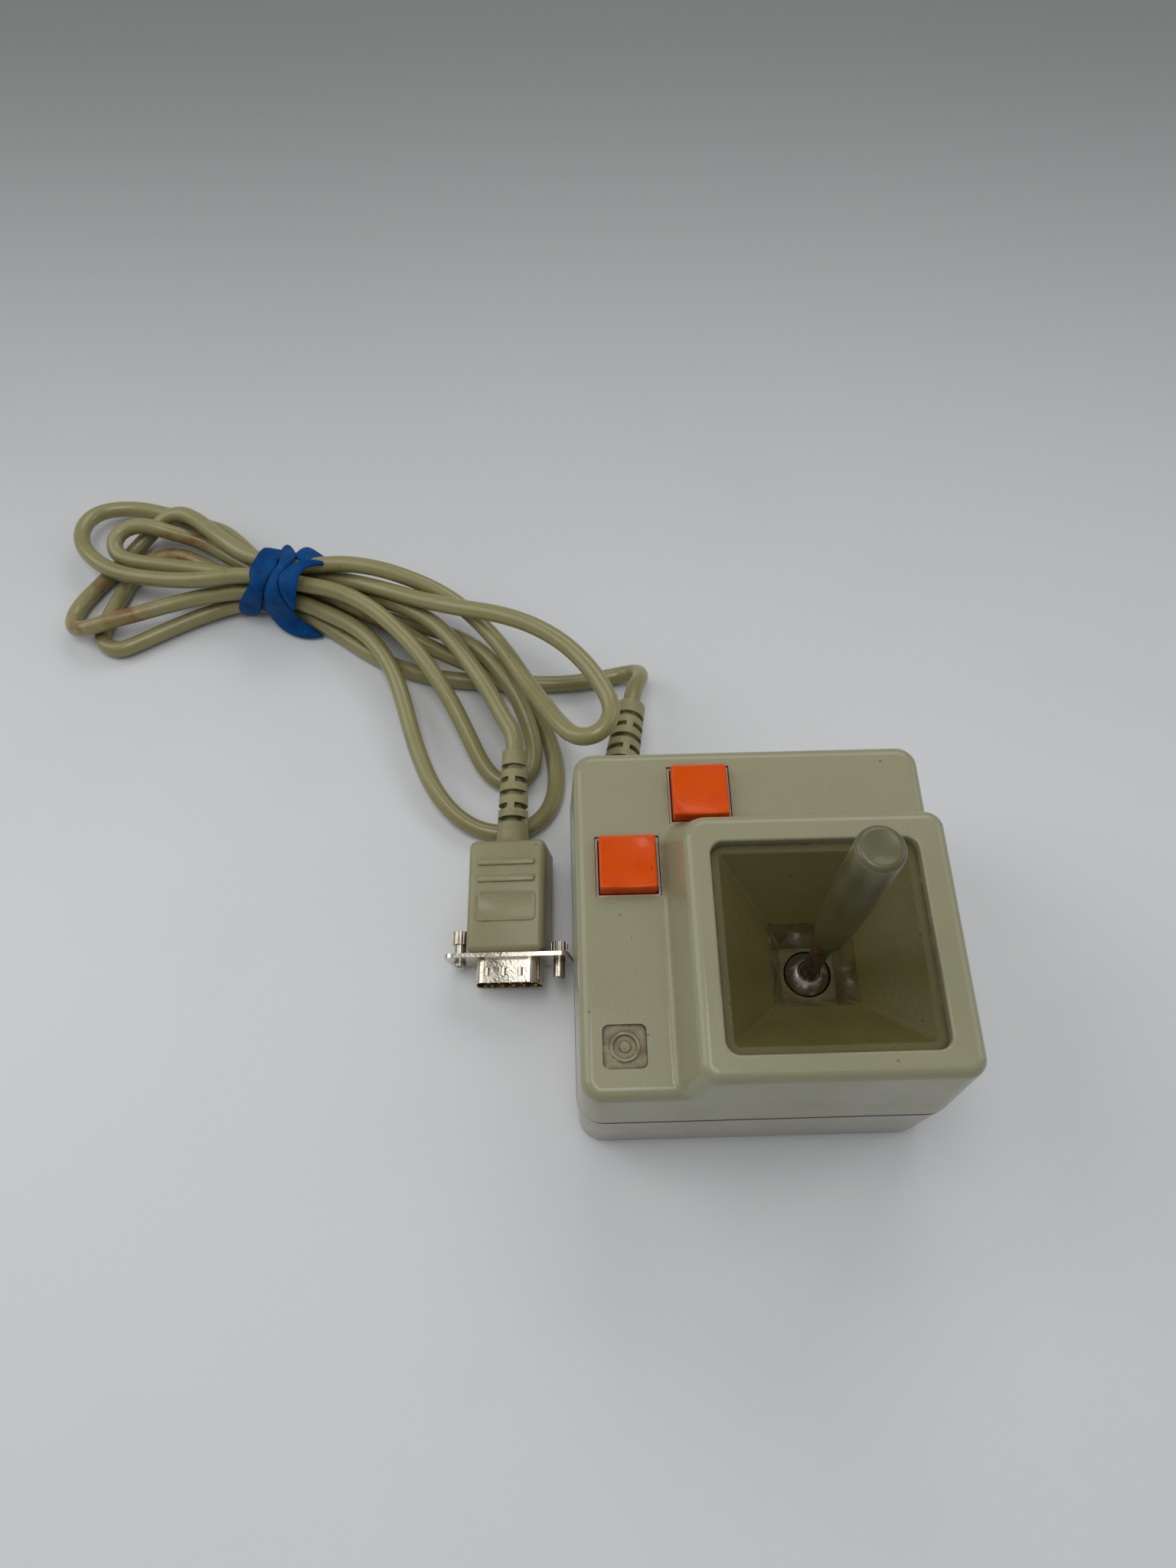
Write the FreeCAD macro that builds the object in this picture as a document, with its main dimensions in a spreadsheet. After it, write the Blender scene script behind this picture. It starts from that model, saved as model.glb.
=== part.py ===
"""Two-button analogue joystick with a cord and a nine-pin plug, as a parametric assembly in millimetres.

The origin is the middle of the case's footprint on the surface it stands on: +X right, +Y back, +Z up.
The plug pieces are made in their own frame (origin at the middle of the flange's front face, +Y towards
the cord) and then laid beside the case by one placement.
"""
import FreeCAD, Part
import Sketcher
import math
import os
import re

from FreeCAD import Placement, Rotation, Vector

# ---------------------------------------------------------------- driving dimensions
SIZES = {
    "case_width": 82.0,
    "case_depth": 81.5,
    "case_corner": 5.5,
    "foot_height": 0.8,
    "seam_height": 26.0,
    "seam_gap": 0.35,
    "seam_round": 0.5,
    "lower_proud": 0.15,
    "deck_height": 45.9,
    "block_height": 57.5,
    "block_left": -20.2,
    "block_back": 21.0,
    "block_slope": 3.8,
    "edge_round": 2.6,
    "block_corner": 4.0,
    "slope_foot_round": 1.8,
    "wall": 2.0,
    "top_wall": 2.5,
    "upper_draft": 2.9,
    "lower_draft": 1.3,
    "boss_radius": 3.5,
    "boss_joint": 27.6,
    "case_screw_radius": 1.4,
    "stick_x": 10.75,
    "stick_y": -11.3,
    "opening_width": 44.5,
    "opening_depth": 45.3,
    "opening_corner": 3.0,
    "opening_round": 0.6,
    "ledge": 1.9,
    "well_rim": 18.6,
    "well_rim_height": 42.0,
    "well_floor": 12.0,
    "well_floor_height": 34.3,
    "well_wall": 1.5,
    "pivot_height": 31.2,
    "ball_radius": 5.8,
    "ball_bore": 2.55,
    "ball_top": 36.4,
    "ball_skirt": 3.0,
    "socket_gap": 0.3,
    "shaft_radius": 1.9,
    "shaft_bottom": 13.7,
    "shaft_top": 70.0,
    "grip_bottom": 60.0,
    "grip_top": 105.0,
    "grip_radius": 4.45,
    "grip_foot_radius": 3.35,
    "bail_inner": 11.4,
    "bail_outer": 14.4,
    "bail_thick": 1.2,
    "bail_width": 8.0,
    "slot_width": 4.9,
    "carrier_slot_width": 4.1,
    "slot_half_length": 8.3,
    "trunnion_radius": 2.5,
    "running_gap": 0.06,
    "frame_half_x": 19.0,
    "frame_half_y": 22.0,
    "frame_wall": 2.5,
    "floor_thick": 2.2,
    "spring_radius": 3.6,
    "spring_wire": 0.45,
    "rotor_radius": 1.5,
    "frame_bottom": 24.0,
    "frame_top": 38.0,
    "pot_radius": 8.0,
    "pot_length": 7.0,
    "button_hole": 14.4,
    "left_button_x": -28.53,
    "left_button_y": 10.97,
    "back_button_x": -11.4,
    "back_button_y": 28.2,
    "sleeve_side": 14.1,
    "cap_side": 12.6,
    "cap_rise": 3.0,
    "cap_tall": 10.0,
    "button_travel": 2.0,
    "switch_bottom": 29.0,
    "badge_side": 9.2,
    "badge_x": -30.83,
    "badge_y": -28.98,
    "badge_recess": 1.0,
    "badge_sunk": 0.45,
    "board_left": -30.0,
    "board_front": -31.0,
    "board_height": 8.0,
    "gland_x": -29.5,
    "gland_y": 40.45,
    "gland_z": 19.3,
    "gland_length": 31.0,
    "gland_seat": 6.4,
    "cord_diameter": 4.7,
    "flange_width": 30.81,
    "flange_tall": 12.55,
    "flange_thick": 1.0,
    "screw_spacing": 24.99,
    "shell_width": 18.1,
    "shell_tall": 8.36,
    "shell_long": 5.9,
    "shell_slant": 10.0,
    "hood_width": 19.3,
    "hood_tall": 15.0,
    "hood_long": 28.4,
    "boot_long": 26.2,
    "plug_x": -57.0,
    "plug_y": 1.9,
    "plug_z": 8.2,
    "plug_pitch": 6.5,
    "plug_roll": -7.0,
    "plug_yaw": -1.6,
}

doc = FreeCAD.newDocument("joystick")
sheet = doc.addObject("Spreadsheet::Sheet", "Sizes")
for row, (alias, number) in enumerate(SIZES.items(), start=1):
    sheet.set(f"A{row}", alias)
    sheet.set(f"B{row}", str(number))
    sheet.setAlias(f"B{row}", alias)
doc.recompute()

NODES = {}  # label -> the finished object of each sub-part


# ---------------------------------------------------------------- helpers
def formula(text):
    """An expression on the sheet's cells, from one written with the bare names of the sizes."""
    return re.sub(r"[a-z]+(?:_[a-z]+)+|wall|ledge", lambda m: "Sizes." + m.group(0), str(text))


def size(text):
    """The number that an expression on the sizes comes to."""
    found = sheet.evalExpression(formula(text))
    return float(getattr(found, "Value", found))


def vector(x, y, z):
    return Vector(size(x), size(y), size(z))


def keep(label, obj):
    """Files an object as the sub-part of that name."""
    obj.Label = label
    NODES[label] = obj
    return obj


TURNS = {"z": Rotation(), "x": Rotation(Vector(0, 1, 0), 90), "y": Rotation(Vector(1, 0, 0), -90)}


def primitive(kind, sizes, at, turn="z"):
    obj = doc.addObject(f"Part::{kind}", kind.lower())
    obj.Placement = Placement(Vector(), TURNS[turn])
    for name, text in sizes.items():
        obj.setExpression(name, formula(text))
    for axis, text in zip("xyz", at):
        obj.setExpression(f"Placement.Base.{axis}", formula(text))
    return obj


def block(length, width, height, x, y, z):
    """A box from its lowest corner."""
    return primitive("Box", {"Length": length, "Width": width, "Height": height}, (x, y, z))


def rod(radius, height, x, y, z, axis="z"):
    """A cylinder that starts at a point and runs along +X, +Y or +Z."""
    return primitive("Cylinder", {"Radius": radius, "Height": height}, (x, y, z), axis)


def cone(first, second, height, x, y, z, axis="z"):
    return primitive("Cone", {"Radius1": first, "Radius2": second, "Height": height}, (x, y, z), axis)


def ball(radius, x, y, z):
    return primitive("Sphere", {"Radius": radius}, (x, y, z))


def ring(big, small, x, y, z, axis="z"):
    return primitive("Torus", {"Radius1": big, "Radius2": small}, (x, y, z), axis)


def fuse(*shapes):
    obj = doc.addObject("Part::MultiFuse", "fusion")
    obj.Shapes = list(shapes)
    obj.Refine = True
    return obj


def cut(base, *tools):
    obj = doc.addObject("Part::Cut", "cut")
    obj.Base = base
    obj.Tool = tools[0] if len(tools) == 1 else fuse(*tools)
    return obj


def common(first, second):
    obj = doc.addObject("Part::Common", "common")
    obj.Base = first
    obj.Tool = second
    return obj


def shown(label, shape, placement=None):
    """A sub-part whose shape is worked out by Part's own functions."""
    obj = doc.addObject("Part::Feature", label)
    obj.Shape = shape
    if placement:
        obj.Placement = placement
    return keep(label, obj)


def new_body(name):
    return doc.addObject("PartDesign::Body", name)


def sketch_on(body, role, lift):
    """A sketch on one of a body's origin planes, moved along the plane's normal."""
    plane = next(f for f in body.Origin.OriginFeatures if f.Role == role)
    sketch = body.newObject("Sketcher::SketchObject", "sketch")
    sketch.AttachmentSupport = [(plane, "")]
    sketch.MapMode = "FlatFace"
    sketch.setExpression("AttachmentOffset.Base.z", formula(lift))
    return sketch


def pin_point(sketch, geometry, end, x, y):
    """Fixes one end of a sketch element at a place given by two expressions."""
    for kind, text in (("DistanceX", x), ("DistanceY", y)):
        number = sketch.addConstraint(Sketcher.Constraint(kind, -1, 1, geometry, end, size(text)))
        sketch.setExpression(f"Constraints[{number}]", formula(text))


def draw_polygon(sketch, corners):
    """A closed outline whose corners are pairs of expressions."""
    places = [vector(x, y, 0) for x, y in corners]
    count = len(places)
    for i in range(count):
        sketch.addGeometry(Part.LineSegment(places[i], places[(i + 1) % count]))
    for i in range(count):
        sketch.addConstraint(Sketcher.Constraint("Coincident", i, 2, (i + 1) % count, 1))
        pin_point(sketch, i, 1, *corners[i])


def draw_rectangle(sketch, width, depth, radius, x, y):
    """A rectangle about a point, its corners rounded."""
    w, d, r = size(width) / 2, size(depth) / 2, size(radius)
    cx, cy = size(x), size(y)
    centres = [(w - r, r - d), (w - r, d - r), (r - w, d - r), (r - w, r - d)]
    starts = [-90, 0, 90, 180]
    places = []
    for (px, py), start in zip(centres, starts):
        for angle in (start, start + 90):
            a = math.radians(angle)
            places.append(Vector(cx + px + r * math.cos(a), cy + py + r * math.sin(a)))
    for i in range(4):
        sketch.addGeometry(Part.LineSegment(places[2 * i - 1], places[2 * i]))
    for (px, py), start in zip(centres, starts):
        circle = Part.Circle(Vector(cx + px, cy + py), Vector(0, 0, 1), r)
        sketch.addGeometry(Part.ArcOfCircle(circle, math.radians(start), math.radians(start + 90)))
    for i in range(4):
        sketch.addConstraint(Sketcher.Constraint("Tangent", i, 2, 4 + i, 1))
        sketch.addConstraint(Sketcher.Constraint("Tangent", 4 + i, 2, (i + 1) % 4, 1))
    for i in (0, 2):
        sketch.addConstraint(Sketcher.Constraint("Horizontal", i))
        sketch.addConstraint(Sketcher.Constraint("Vertical", i + 1))
    for i in (5, 6, 7):
        sketch.addConstraint(Sketcher.Constraint("Equal", 4, i))
    number = sketch.addConstraint(Sketcher.Constraint("Radius", 4, r))
    sketch.setExpression(f"Constraints[{number}]", formula(radius))
    sides = (
        (0, "DistanceY", f"({y}) - ({depth}) / 2"),
        (1, "DistanceX", f"({x}) + ({width}) / 2"),
        (2, "DistanceY", f"({y}) + ({depth}) / 2"),
        (3, "DistanceX", f"({x}) - ({width}) / 2"),
    )
    for line, kind, text in sides:
        number = sketch.addConstraint(Sketcher.Constraint(kind, -1, 1, line, 1, size(text)))
        sketch.setExpression(f"Constraints[{number}]", formula(text))


def prism(width, depth, radius, x, y, z, height, taper="0"):
    """An upright block with rounded corners, from its foot; a positive taper narrows it upwards."""
    body = new_body("prism")
    sketch = sketch_on(body, "XY_Plane", z)
    draw_rectangle(sketch, width, depth, radius, x, y)
    pad = body.newObject("PartDesign::Pad", "pad")
    pad.Profile = sketch
    pad.setExpression("Length", formula(height))
    pad.setExpression("TaperAngle", formula(f"-({taper})"))
    return body


def frustum(lower, upper):
    """A loft between two rounded rectangles, each (width, depth, radius, x, y, z)."""
    body = new_body("frustum")
    sketches = []
    for width, depth, radius, x, y, z in (lower, upper):
        sketch = sketch_on(body, "XY_Plane", z)
        draw_rectangle(sketch, width, depth, radius, x, y)
        sketches.append(sketch)
    loft = body.newObject("PartDesign::AdditiveLoft", "loft")
    loft.Profile = sketches[0]
    loft.Sections = [sketches[1]]
    loft.Ruled = True
    return body


def turned(corners, x, y):
    """A solid of revolution about a vertical axis, from (radius, height) corners."""
    body = new_body("turned")
    sketch = sketch_on(body, "XZ_Plane", "0")
    draw_polygon(sketch, corners)
    turn = body.newObject("PartDesign::Revolution", "turn")
    turn.Profile = sketch
    turn.ReferenceAxis = (sketch, ["V_Axis"])
    turn.Angle = 360
    body.setExpression("Placement.Base.x", formula(x))
    body.setExpression("Placement.Base.y", formula(y))
    return body


# ---------------------------------------------------------------- case
BOSSES = (("34.3", "34.3"), ("34.3", "-34.3"), ("-34.3", "-34.3"), ("-34.3", "28.5"))
BUTTONS = {
    "left": ("left_button_x", "left_button_y"),
    "back": ("back_button_x", "back_button_y"),
}
FAR = "60"  # how far cutting tools reach past the case


def full_height(inset, top):
    """The upper case's outline as one drafted block, drawn in from its walls and top."""
    foot = "seam_height + seam_gap"
    return prism(
        f"case_width - 2 * ({inset})", f"case_depth - 2 * ({inset})", f"case_corner - ({inset}) / 2",
        "0", "0", foot, f"block_height - ({top}) - ({foot})", "upper_draft",
    )


def block_outline(inset, depth):
    """The raised block's two slopes, from a depth below the deck, carried on past the other walls."""
    spread = f"({inset}) - block_slope * ({depth}) / (block_height - deck_height)"
    sections = []
    for shift, radius, z in ((spread, "6", f"deck_height - ({depth})"),
                             (f"({inset}) + block_slope", "5", "block_height + 0.01")):
        left, back = f"(block_left + ({shift}))", f"(block_back - ({shift}))"
        sections.append((f"{FAR} - {left}", f"{FAR} + {back}", radius, f"({FAR} + {left}) / 2",
                         f"({back} - {FAR}) / 2", z))
    return frustum(*sections)


def soften(obj, radius_of):
    """Rounds the edges of an object for which a function gives a radius."""
    doc.recompute()
    fillet = doc.addObject("Part::Fillet", "rounded")
    fillet.Base = obj
    radii = [radius_of(edge.BoundBox) for edge in obj.Shape.Edges]
    fillet.Edges = [(number, size(r), size(r)) for number, r in enumerate(radii, start=1) if r]
    return fillet


def deck_rounding(box):
    if box.ZMin > size("deck_height") - 0.01:
        return "edge_round"


def block_rounding(box):
    """The block's top edge, and the two upright corners where its slopes meet the case's walls."""
    tall = box.ZMax > size("block_height") - 0.01 and box.ZMin < size("deck_height")
    front_left = box.XMax < size("block_left + block_slope + 1") and box.YMax < size("8 - case_depth / 2")
    back_right = box.YMin > size("block_back - block_slope - 1") and box.XMin > size("case_width / 2 - 8")
    if tall and (front_left or back_right):
        return "block_corner"
    if box.ZMin > size("block_height") - 0.01:
        return "edge_round"


def foot_rounding(box):
    """The line where the block's slopes rise from the deck."""
    level = abs(box.ZMin - size("deck_height")) < 0.01 and abs(box.ZMax - size("deck_height")) < 0.01
    by_block = box.XMin > size("block_left - 2") or box.YMax < size("block_back + 2")
    inside = box.XMax > size("block_left - 1") and box.YMin < size("block_back + 1")
    if level and by_block and inside:
        return "slope_foot_round"


def opening_rounding(box):
    """The edge of the well's opening in the block's top."""
    across = abs(box.Center.x - size("stick_x")) < size("opening_width / 2 + 0.01")
    along = abs(box.Center.y - size("stick_y")) < size("opening_depth / 2 + 0.01")
    if across and along and box.ZMin > size("block_height") - 0.01:
        return "opening_round"


def upper_case():
    deck = cut(full_height("0", "0"),
               block(f"2 * {FAR}", f"2 * {FAR}", "30", f"-{FAR}", f"-{FAR}", "deck_height"))
    raised = common(full_height("0", "0"), block_outline("0", "8"))
    outer = soften(fuse(soften(deck, deck_rounding), soften(raised, block_rounding)), foot_rounding)
    around = cut(
        block(f"2 * {FAR}", f"2 * {FAR}", "30", f"-{FAR}", f"-{FAR}", "deck_height - top_wall"),
        block_outline("wall", "top_wall"),
    )
    hollow = cut(full_height("wall", "top_wall"), around)
    openings = [
        prism("opening_width", "opening_depth", "opening_corner", "stick_x", "stick_y",
              "block_height - 5", "10"),
        prism("badge_side", "badge_side", "1.4", "badge_x", "badge_y",
              "deck_height - badge_recess", "5"),
    ]
    for x, y in BUTTONS.values():
        openings.append(block("button_hole", "button_hole", "10", f"{x} - button_hole / 2",
                              f"{y} - button_hole / 2", "deck_height - 5"))
    posts = []
    pilots = []
    tall = "deck_height - 1.4 - boss_joint"
    for x, y in BOSSES:
        posts.append(rod("boss_radius", tall, x, y, "boss_joint"))
        rib_start = "-39.2" if x.startswith("-") else x
        posts.append(block("4.9", "1.6", tall, rib_start, f"{y} - 0.8", "boss_joint"))
        pilots.append(rod("case_screw_radius", "8", x, y, "seam_height - 1"))
    shell = soften(cut(outer, hollow, *openings), opening_rounding)
    keep("upper_case", cut(fuse(shell, *posts), *pilots))


def seam_rounding(box):
    if box.ZMin > size("seam_height") - 0.01:
        return "seam_round"


def lower_case():
    """The bottom tray, with a flat round seat in its back wall for the strain relief."""
    tall = "seam_height - foot_height"
    outer = prism("case_width + 2 * lower_proud - 1.2", "case_depth + 2 * lower_proud - 1.2", "case_corner",
                  "0", "0", "foot_height", tall, "-lower_draft")
    hollow = prism("case_width - 6", "case_depth - 6", "case_corner - 1", "0", "0",
                   "foot_height + floor_thick", "seam_height", "-lower_draft")
    lip = cut(
        prism("case_width - 2 * wall - 0.5", "case_depth - 2 * wall - 0.5", "case_corner - 1",
              "0", "0", "seam_height - 3", "4.5"),
        prism("case_width - 2 * wall - 2.7", "case_depth - 2 * wall - 2.7", "case_corner - 2",
              "0", "0", "seam_height - 4", "7"),
    )
    solids = [cut(soften(outer, seam_rounding), hollow), lip]
    holes = [
        rod("4.5", "8", "gland_x", "case_depth / 2 - 6", "gland_z", "y"),
        rod("gland_seat", "1", "gland_x", "gland_y", "gland_z", "y"),
    ]
    for x, y in BOSSES:
        solids.append(rod("boss_radius", "boss_joint - foot_height", x, y, "foot_height"))
        holes.append(rod("case_screw_radius + 0.2", "seam_height + 2", x, y, "0"))
        holes.append(rod("3", "foot_height + 3", x, y, "-0.5"))
    for x, y in FEET:
        holes.append(rod("4.6", "1.7", x, y, "0"))
    for x, y in BOARD_POSTS:
        solids.append(rod("2.2", "board_height - foot_height - 1", x, y, "foot_height + 1"))
    for x, y in FRAME_LEGS:
        holes.append(rod("1.3", "5", x, y, "0"))
        holes.append(rod("2.6", "1.6", x, y, "0"))
    keep("lower_case", cut(fuse(*solids), *holes))


FEET = [(x, y) for x in ("-33", "33") for y in ("-19.5", "19.5")]
BOARD_POSTS = [(x, y) for x in ("board_left + 3", "board_left + 16") for y in
               ("board_front + 3", "board_front + 19")]
FRAME_LEGS = [
    (f"stick_x {side} (frame_half_x - 2.5)", f"stick_y {end} (frame_half_y - 2.5)")
    for side in "+-" for end in "+-"
]


def case_hardware():
    screws = [
        fuse(rod("2.8", "1.6", x, y, "1.7"), rod("case_screw_radius", "30", x, y, "1.8"))
        for x, y in BOSSES
    ]
    group("case_screws", screws)
    group("rubber_feet", [rod("4.5", "1.7", x, y, "0") for x, y in FEET])
    group("frame_screws", [
        fuse(rod("2.4", "0.5", x, y, "1"), rod("1.2", "8", x, y, "1.2")) for x, y in FRAME_LEGS
    ])


def group(label, objects):
    """Several loose solids that share one node."""
    obj = doc.addObject("Part::Compound", label)
    obj.Links = list(objects)
    return keep(label, obj)


def badge():
    """A plain sunk badge: a raised ring round a dot."""
    plate_top = "deck_height - badge_sunk"
    plate = prism("badge_side - 0.2", "badge_side - 0.2", "1.3", "badge_x", "badge_y",
                  "deck_height - badge_recess", "badge_recess - badge_sunk")
    circle = cut(rod("3.1", "0.3", "badge_x", "badge_y", plate_top),
                 rod("2.5", "1", "badge_x", "badge_y", plate_top))
    keep("emblem_badge", fuse(plate, circle, rod("1.1", "0.3", "badge_x", "badge_y", plate_top)))


# ---------------------------------------------------------------- well and stick
def square(side, radius, z):
    """A rounded square about the stick's axis, in the form that frustum takes."""
    return (side, side, radius, "stick_x", "stick_y", z)


def stick_well():
    mouth = "block_height - top_wall"
    inner_x = "opening_width - 2 * ledge"
    inner_y = "opening_depth - 2 * ledge"
    grown = "2 * well_wall"
    flange = prism("opening_width + 4.2", "opening_depth + 4.2", "3", "stick_x", "stick_y",
                   f"{mouth} - 1.8", "1.8")
    shallow = frustum(
        square(f"well_rim + {grown}", "1.6", "well_rim_height"),
        (f"{inner_x} + {grown}", f"{inner_y} + {grown}", "2.4", "stick_x", "stick_y", mouth),
    )
    steep = frustum(
        square(f"well_floor + {grown}", "1.6", "well_floor_height - well_wall"),
        square(f"well_rim + {grown}", "1.6", "well_rim_height"),
    )
    hollows = [
        frustum(square("well_rim", "0.6", "well_rim_height"),
                (inner_x, inner_y, "1.2", "stick_x", "stick_y", mouth)),
        frustum(square("well_floor", "0.6", "well_floor_height"),
                square("well_rim", "0.6", "well_rim_height")),
        ball("ball_radius + socket_gap", "stick_x", "stick_y", "pivot_height"),
    ]
    keep("stick_well", cut(fuse(flange, shallow, steep), *hollows))


def ball_cap():
    sphere = ball("ball_radius", "stick_x", "stick_y", "pivot_height")
    kept = rod("ball_radius + 1", "ball_top - pivot_height + ball_skirt", "stick_x", "stick_y",
               "pivot_height - ball_skirt")
    bore = rod("ball_bore", "20", "stick_x", "stick_y", "pivot_height - 8")
    keep("ball_cap", cut(common(sphere, kept), bore))


def stick():
    keep("stick_shaft", fuse(
        rod("shaft_radius", "shaft_top - shaft_bottom - 0.8", "stick_x", "stick_y", "shaft_bottom + 0.8"),
        cone("shaft_radius - 0.6", "shaft_radius", "0.8", "stick_x", "stick_y", "shaft_bottom"),
    ))
    keep("stick_collar", turned([
        ("shaft_radius", "pivot_height - ball_skirt"), ("ball_bore", "pivot_height - ball_skirt"),
        ("ball_bore", "ball_top - 0.9"), ("ball_bore - 0.2", "ball_top - 0.7"),
        ("shaft_radius", "ball_top - 0.7"),
    ], "stick_x", "stick_y"))


def stick_grip():
    """A slim tapered handle: its side is one long arc that is upright near the top."""
    low = size("grip_foot_radius")
    full = size("grip_radius")
    bottom = size("grip_bottom")
    top = size("grip_top")
    bend = top - 14.0
    swing = ((bend - bottom - 0.4) ** 2 + (full - low) ** 2) / (2 * (full - low))
    half = math.asin((bend - bottom - 0.4) / swing) / 2
    middle = Vector(full - swing * (1 - math.cos(half)), 0, bend - swing * math.sin(half))
    bore = size("shaft_radius")
    shaft_end = size("shaft_top")
    rounding = 1.3
    dish = 0.4
    slant = math.sqrt(0.5)
    rim_radius = full - rounding
    bowl = (rim_radius ** 2 + dish ** 2) / (2 * dish)
    corners = {
        "bore": Vector(bore, 0, bottom),
        "foot": Vector(low - 0.4, 0, bottom),
        "low": Vector(low, 0, bottom + 0.4),
        "bend": Vector(full, 0, bend),
        "shoulder": Vector(full, 0, top - rounding),
        "rim": Vector(rim_radius, 0, top),
        "centre": Vector(0, 0, top - dish),
        "bore_centre": Vector(0, 0, shaft_end),
        "bore_end": Vector(bore, 0, shaft_end),
    }
    arcs = {
        "low": middle,
        "shoulder": Vector(full - rounding * (1 - slant), 0, top - rounding * (1 - slant)),
        "rim": Vector(rim_radius / 2, 0, top - dish + bowl - math.sqrt(bowl ** 2 - rim_radius ** 2 / 4)),
    }
    names = list(corners)
    edges = []
    for a, b in zip(names, names[1:] + names[:1]):
        if a in arcs:
            edges.append(Part.Arc(corners[a], arcs[a], corners[b]).toShape())
        else:
            edges.append(Part.makeLine(corners[a], corners[b]))
    face = Part.Face(Part.Wire(edges))
    grip = face.revolve(Vector(), Vector(0, 0, 1), 360)
    shown("stick_grip", grip, Placement(vector("stick_x", "stick_y", "0"), Rotation()))


# ---------------------------------------------------------------- gimbal
# Each bail turns about one axis. Its spring is at one end of the frame and its sensor at the other.
AXES = {
    "x": {"half": "frame_half_x", "inner": "bail_inner", "slot": "slot_width", "spring": 1},
    "y": {"half": "frame_half_y", "inner": "bail_outer", "slot": "carrier_slot_width", "spring": -1},
}


def from_pivot(axis, along, across="0", up="0"):
    """A point given along a bail's axis, across it and above the pivot."""
    x, y = (along, across) if axis == "x" else (across, along)
    return f"stick_x + ({x})", f"stick_y + ({y})", f"pivot_height + ({up})"


def end_rod(radius, near, far, axis, end):
    """A round bar on a bail's axis at one end, +1 the spring's and -1 the sensor's."""
    sign = AXES[axis]["spring"] * end
    low = near if sign > 0 else f"-({far})"
    return rod(radius, f"({far}) - ({near})", *from_pivot(axis, low), axis)


def bail(label, axis):
    """A half ring below the pivot on two trunnions, with a slot for the stick's tail."""
    across = "y" if axis == "x" else "x"
    inner, half = AXES[axis]["inner"], AXES[axis]["half"]
    start = from_pivot(axis, "0", "-bail_width / 2")
    arch = cut(
        rod(f"{inner} + bail_thick", "bail_width", *start, across),
        rod(inner, "bail_width", *start, across),
        block("60", "60", "30", "stick_x - 30", "stick_y - 30", "pivot_height"),
    )
    sides = {axis: "slot_half_length", across: f"{AXES[axis]['slot']} / 2"}
    slot = block(f"2 * {sides['x']}", f"2 * {sides['y']}", "15", f"stick_x - {sides['x']}",
                 f"stick_y - {sides['y']}", "pivot_height - 20")
    keep(label, fuse(
        cut(arch, slot),
        end_rod("trunnion_radius", inner, f"{half} + 3.4", axis, 1),
        end_rod("trunnion_radius", inner, half, axis, -1),
    ))
    keep(f"sensor_rotor_{axis}", end_rod("rotor_radius", half, f"{half} + pot_length + 0.6", axis, -1))


def gimbal_frame():
    walls = cut(
        block("2 * frame_half_x", "2 * frame_half_y", "frame_top - frame_bottom",
              "stick_x - frame_half_x", "stick_y - frame_half_y", "frame_bottom"),
        block("2 * (frame_half_x - frame_wall)", "2 * (frame_half_y - frame_wall)", "30",
              "stick_x - frame_half_x + frame_wall", "stick_y - frame_half_y + frame_wall",
              "frame_bottom - 5"),
    )
    foot = "foot_height + floor_thick"
    legs = [block("5", "5", f"frame_bottom + 1 - ({foot})", f"{x} - 2.5", f"{y} - 2.5", foot)
            for x, y in FRAME_LEGS]
    bearings = [rod("trunnion_radius + running_gap", "60", *from_pivot(axis, "-30"), axis) for axis in AXES]
    pilots = [rod("1.2", "7.5", x, y, "2") for x, y in FRAME_LEGS]
    keep("gimbal_frame", cut(fuse(walls, *legs), *bearings, *pilots))


def sensor(axis):
    """A rotary sensor on the outside of the frame: a round can with three solder tags below it."""
    half = AXES[axis]["half"]
    sign = -AXES[axis]["spring"]
    can = cut(
        end_rod("pot_radius", half, f"{half} + pot_length", axis, -1),
        rod("rotor_radius + 0.1", "80", *from_pivot(axis, "-40"), axis),
    )
    wide, thin = ("0.5", "1.6") if axis == "x" else ("1.6", "0.5")
    tags = [
        block(wide, thin, "7", *from_pivot(axis, f"{sign} * ({half} + 1.5)", f"{step} - 0.8", "-13"))
        for step in (-3.5, 0, 3.5)
    ]
    keep(f"position_sensor_{axis}", fuse(can, *tags))


def centring_spring(axis):
    """Four close turns of wire round the trunnion's free end, with a leg up the frame."""
    half = AXES[axis]["half"]
    sign = AXES[axis]["spring"]
    turns = [
        ring("spring_radius", "spring_wire",
             *from_pivot(axis, f"{sign} * ({half} + spring_wire + {0.75 * turn})"), axis)
        for turn in range(4)
    ]
    leg = rod("spring_wire", "6", *from_pivot(axis, f"{sign} * ({half} + spring_wire)", "spring_radius"))
    keep(f"centring_spring_{axis}", fuse(*turns, leg))


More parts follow.
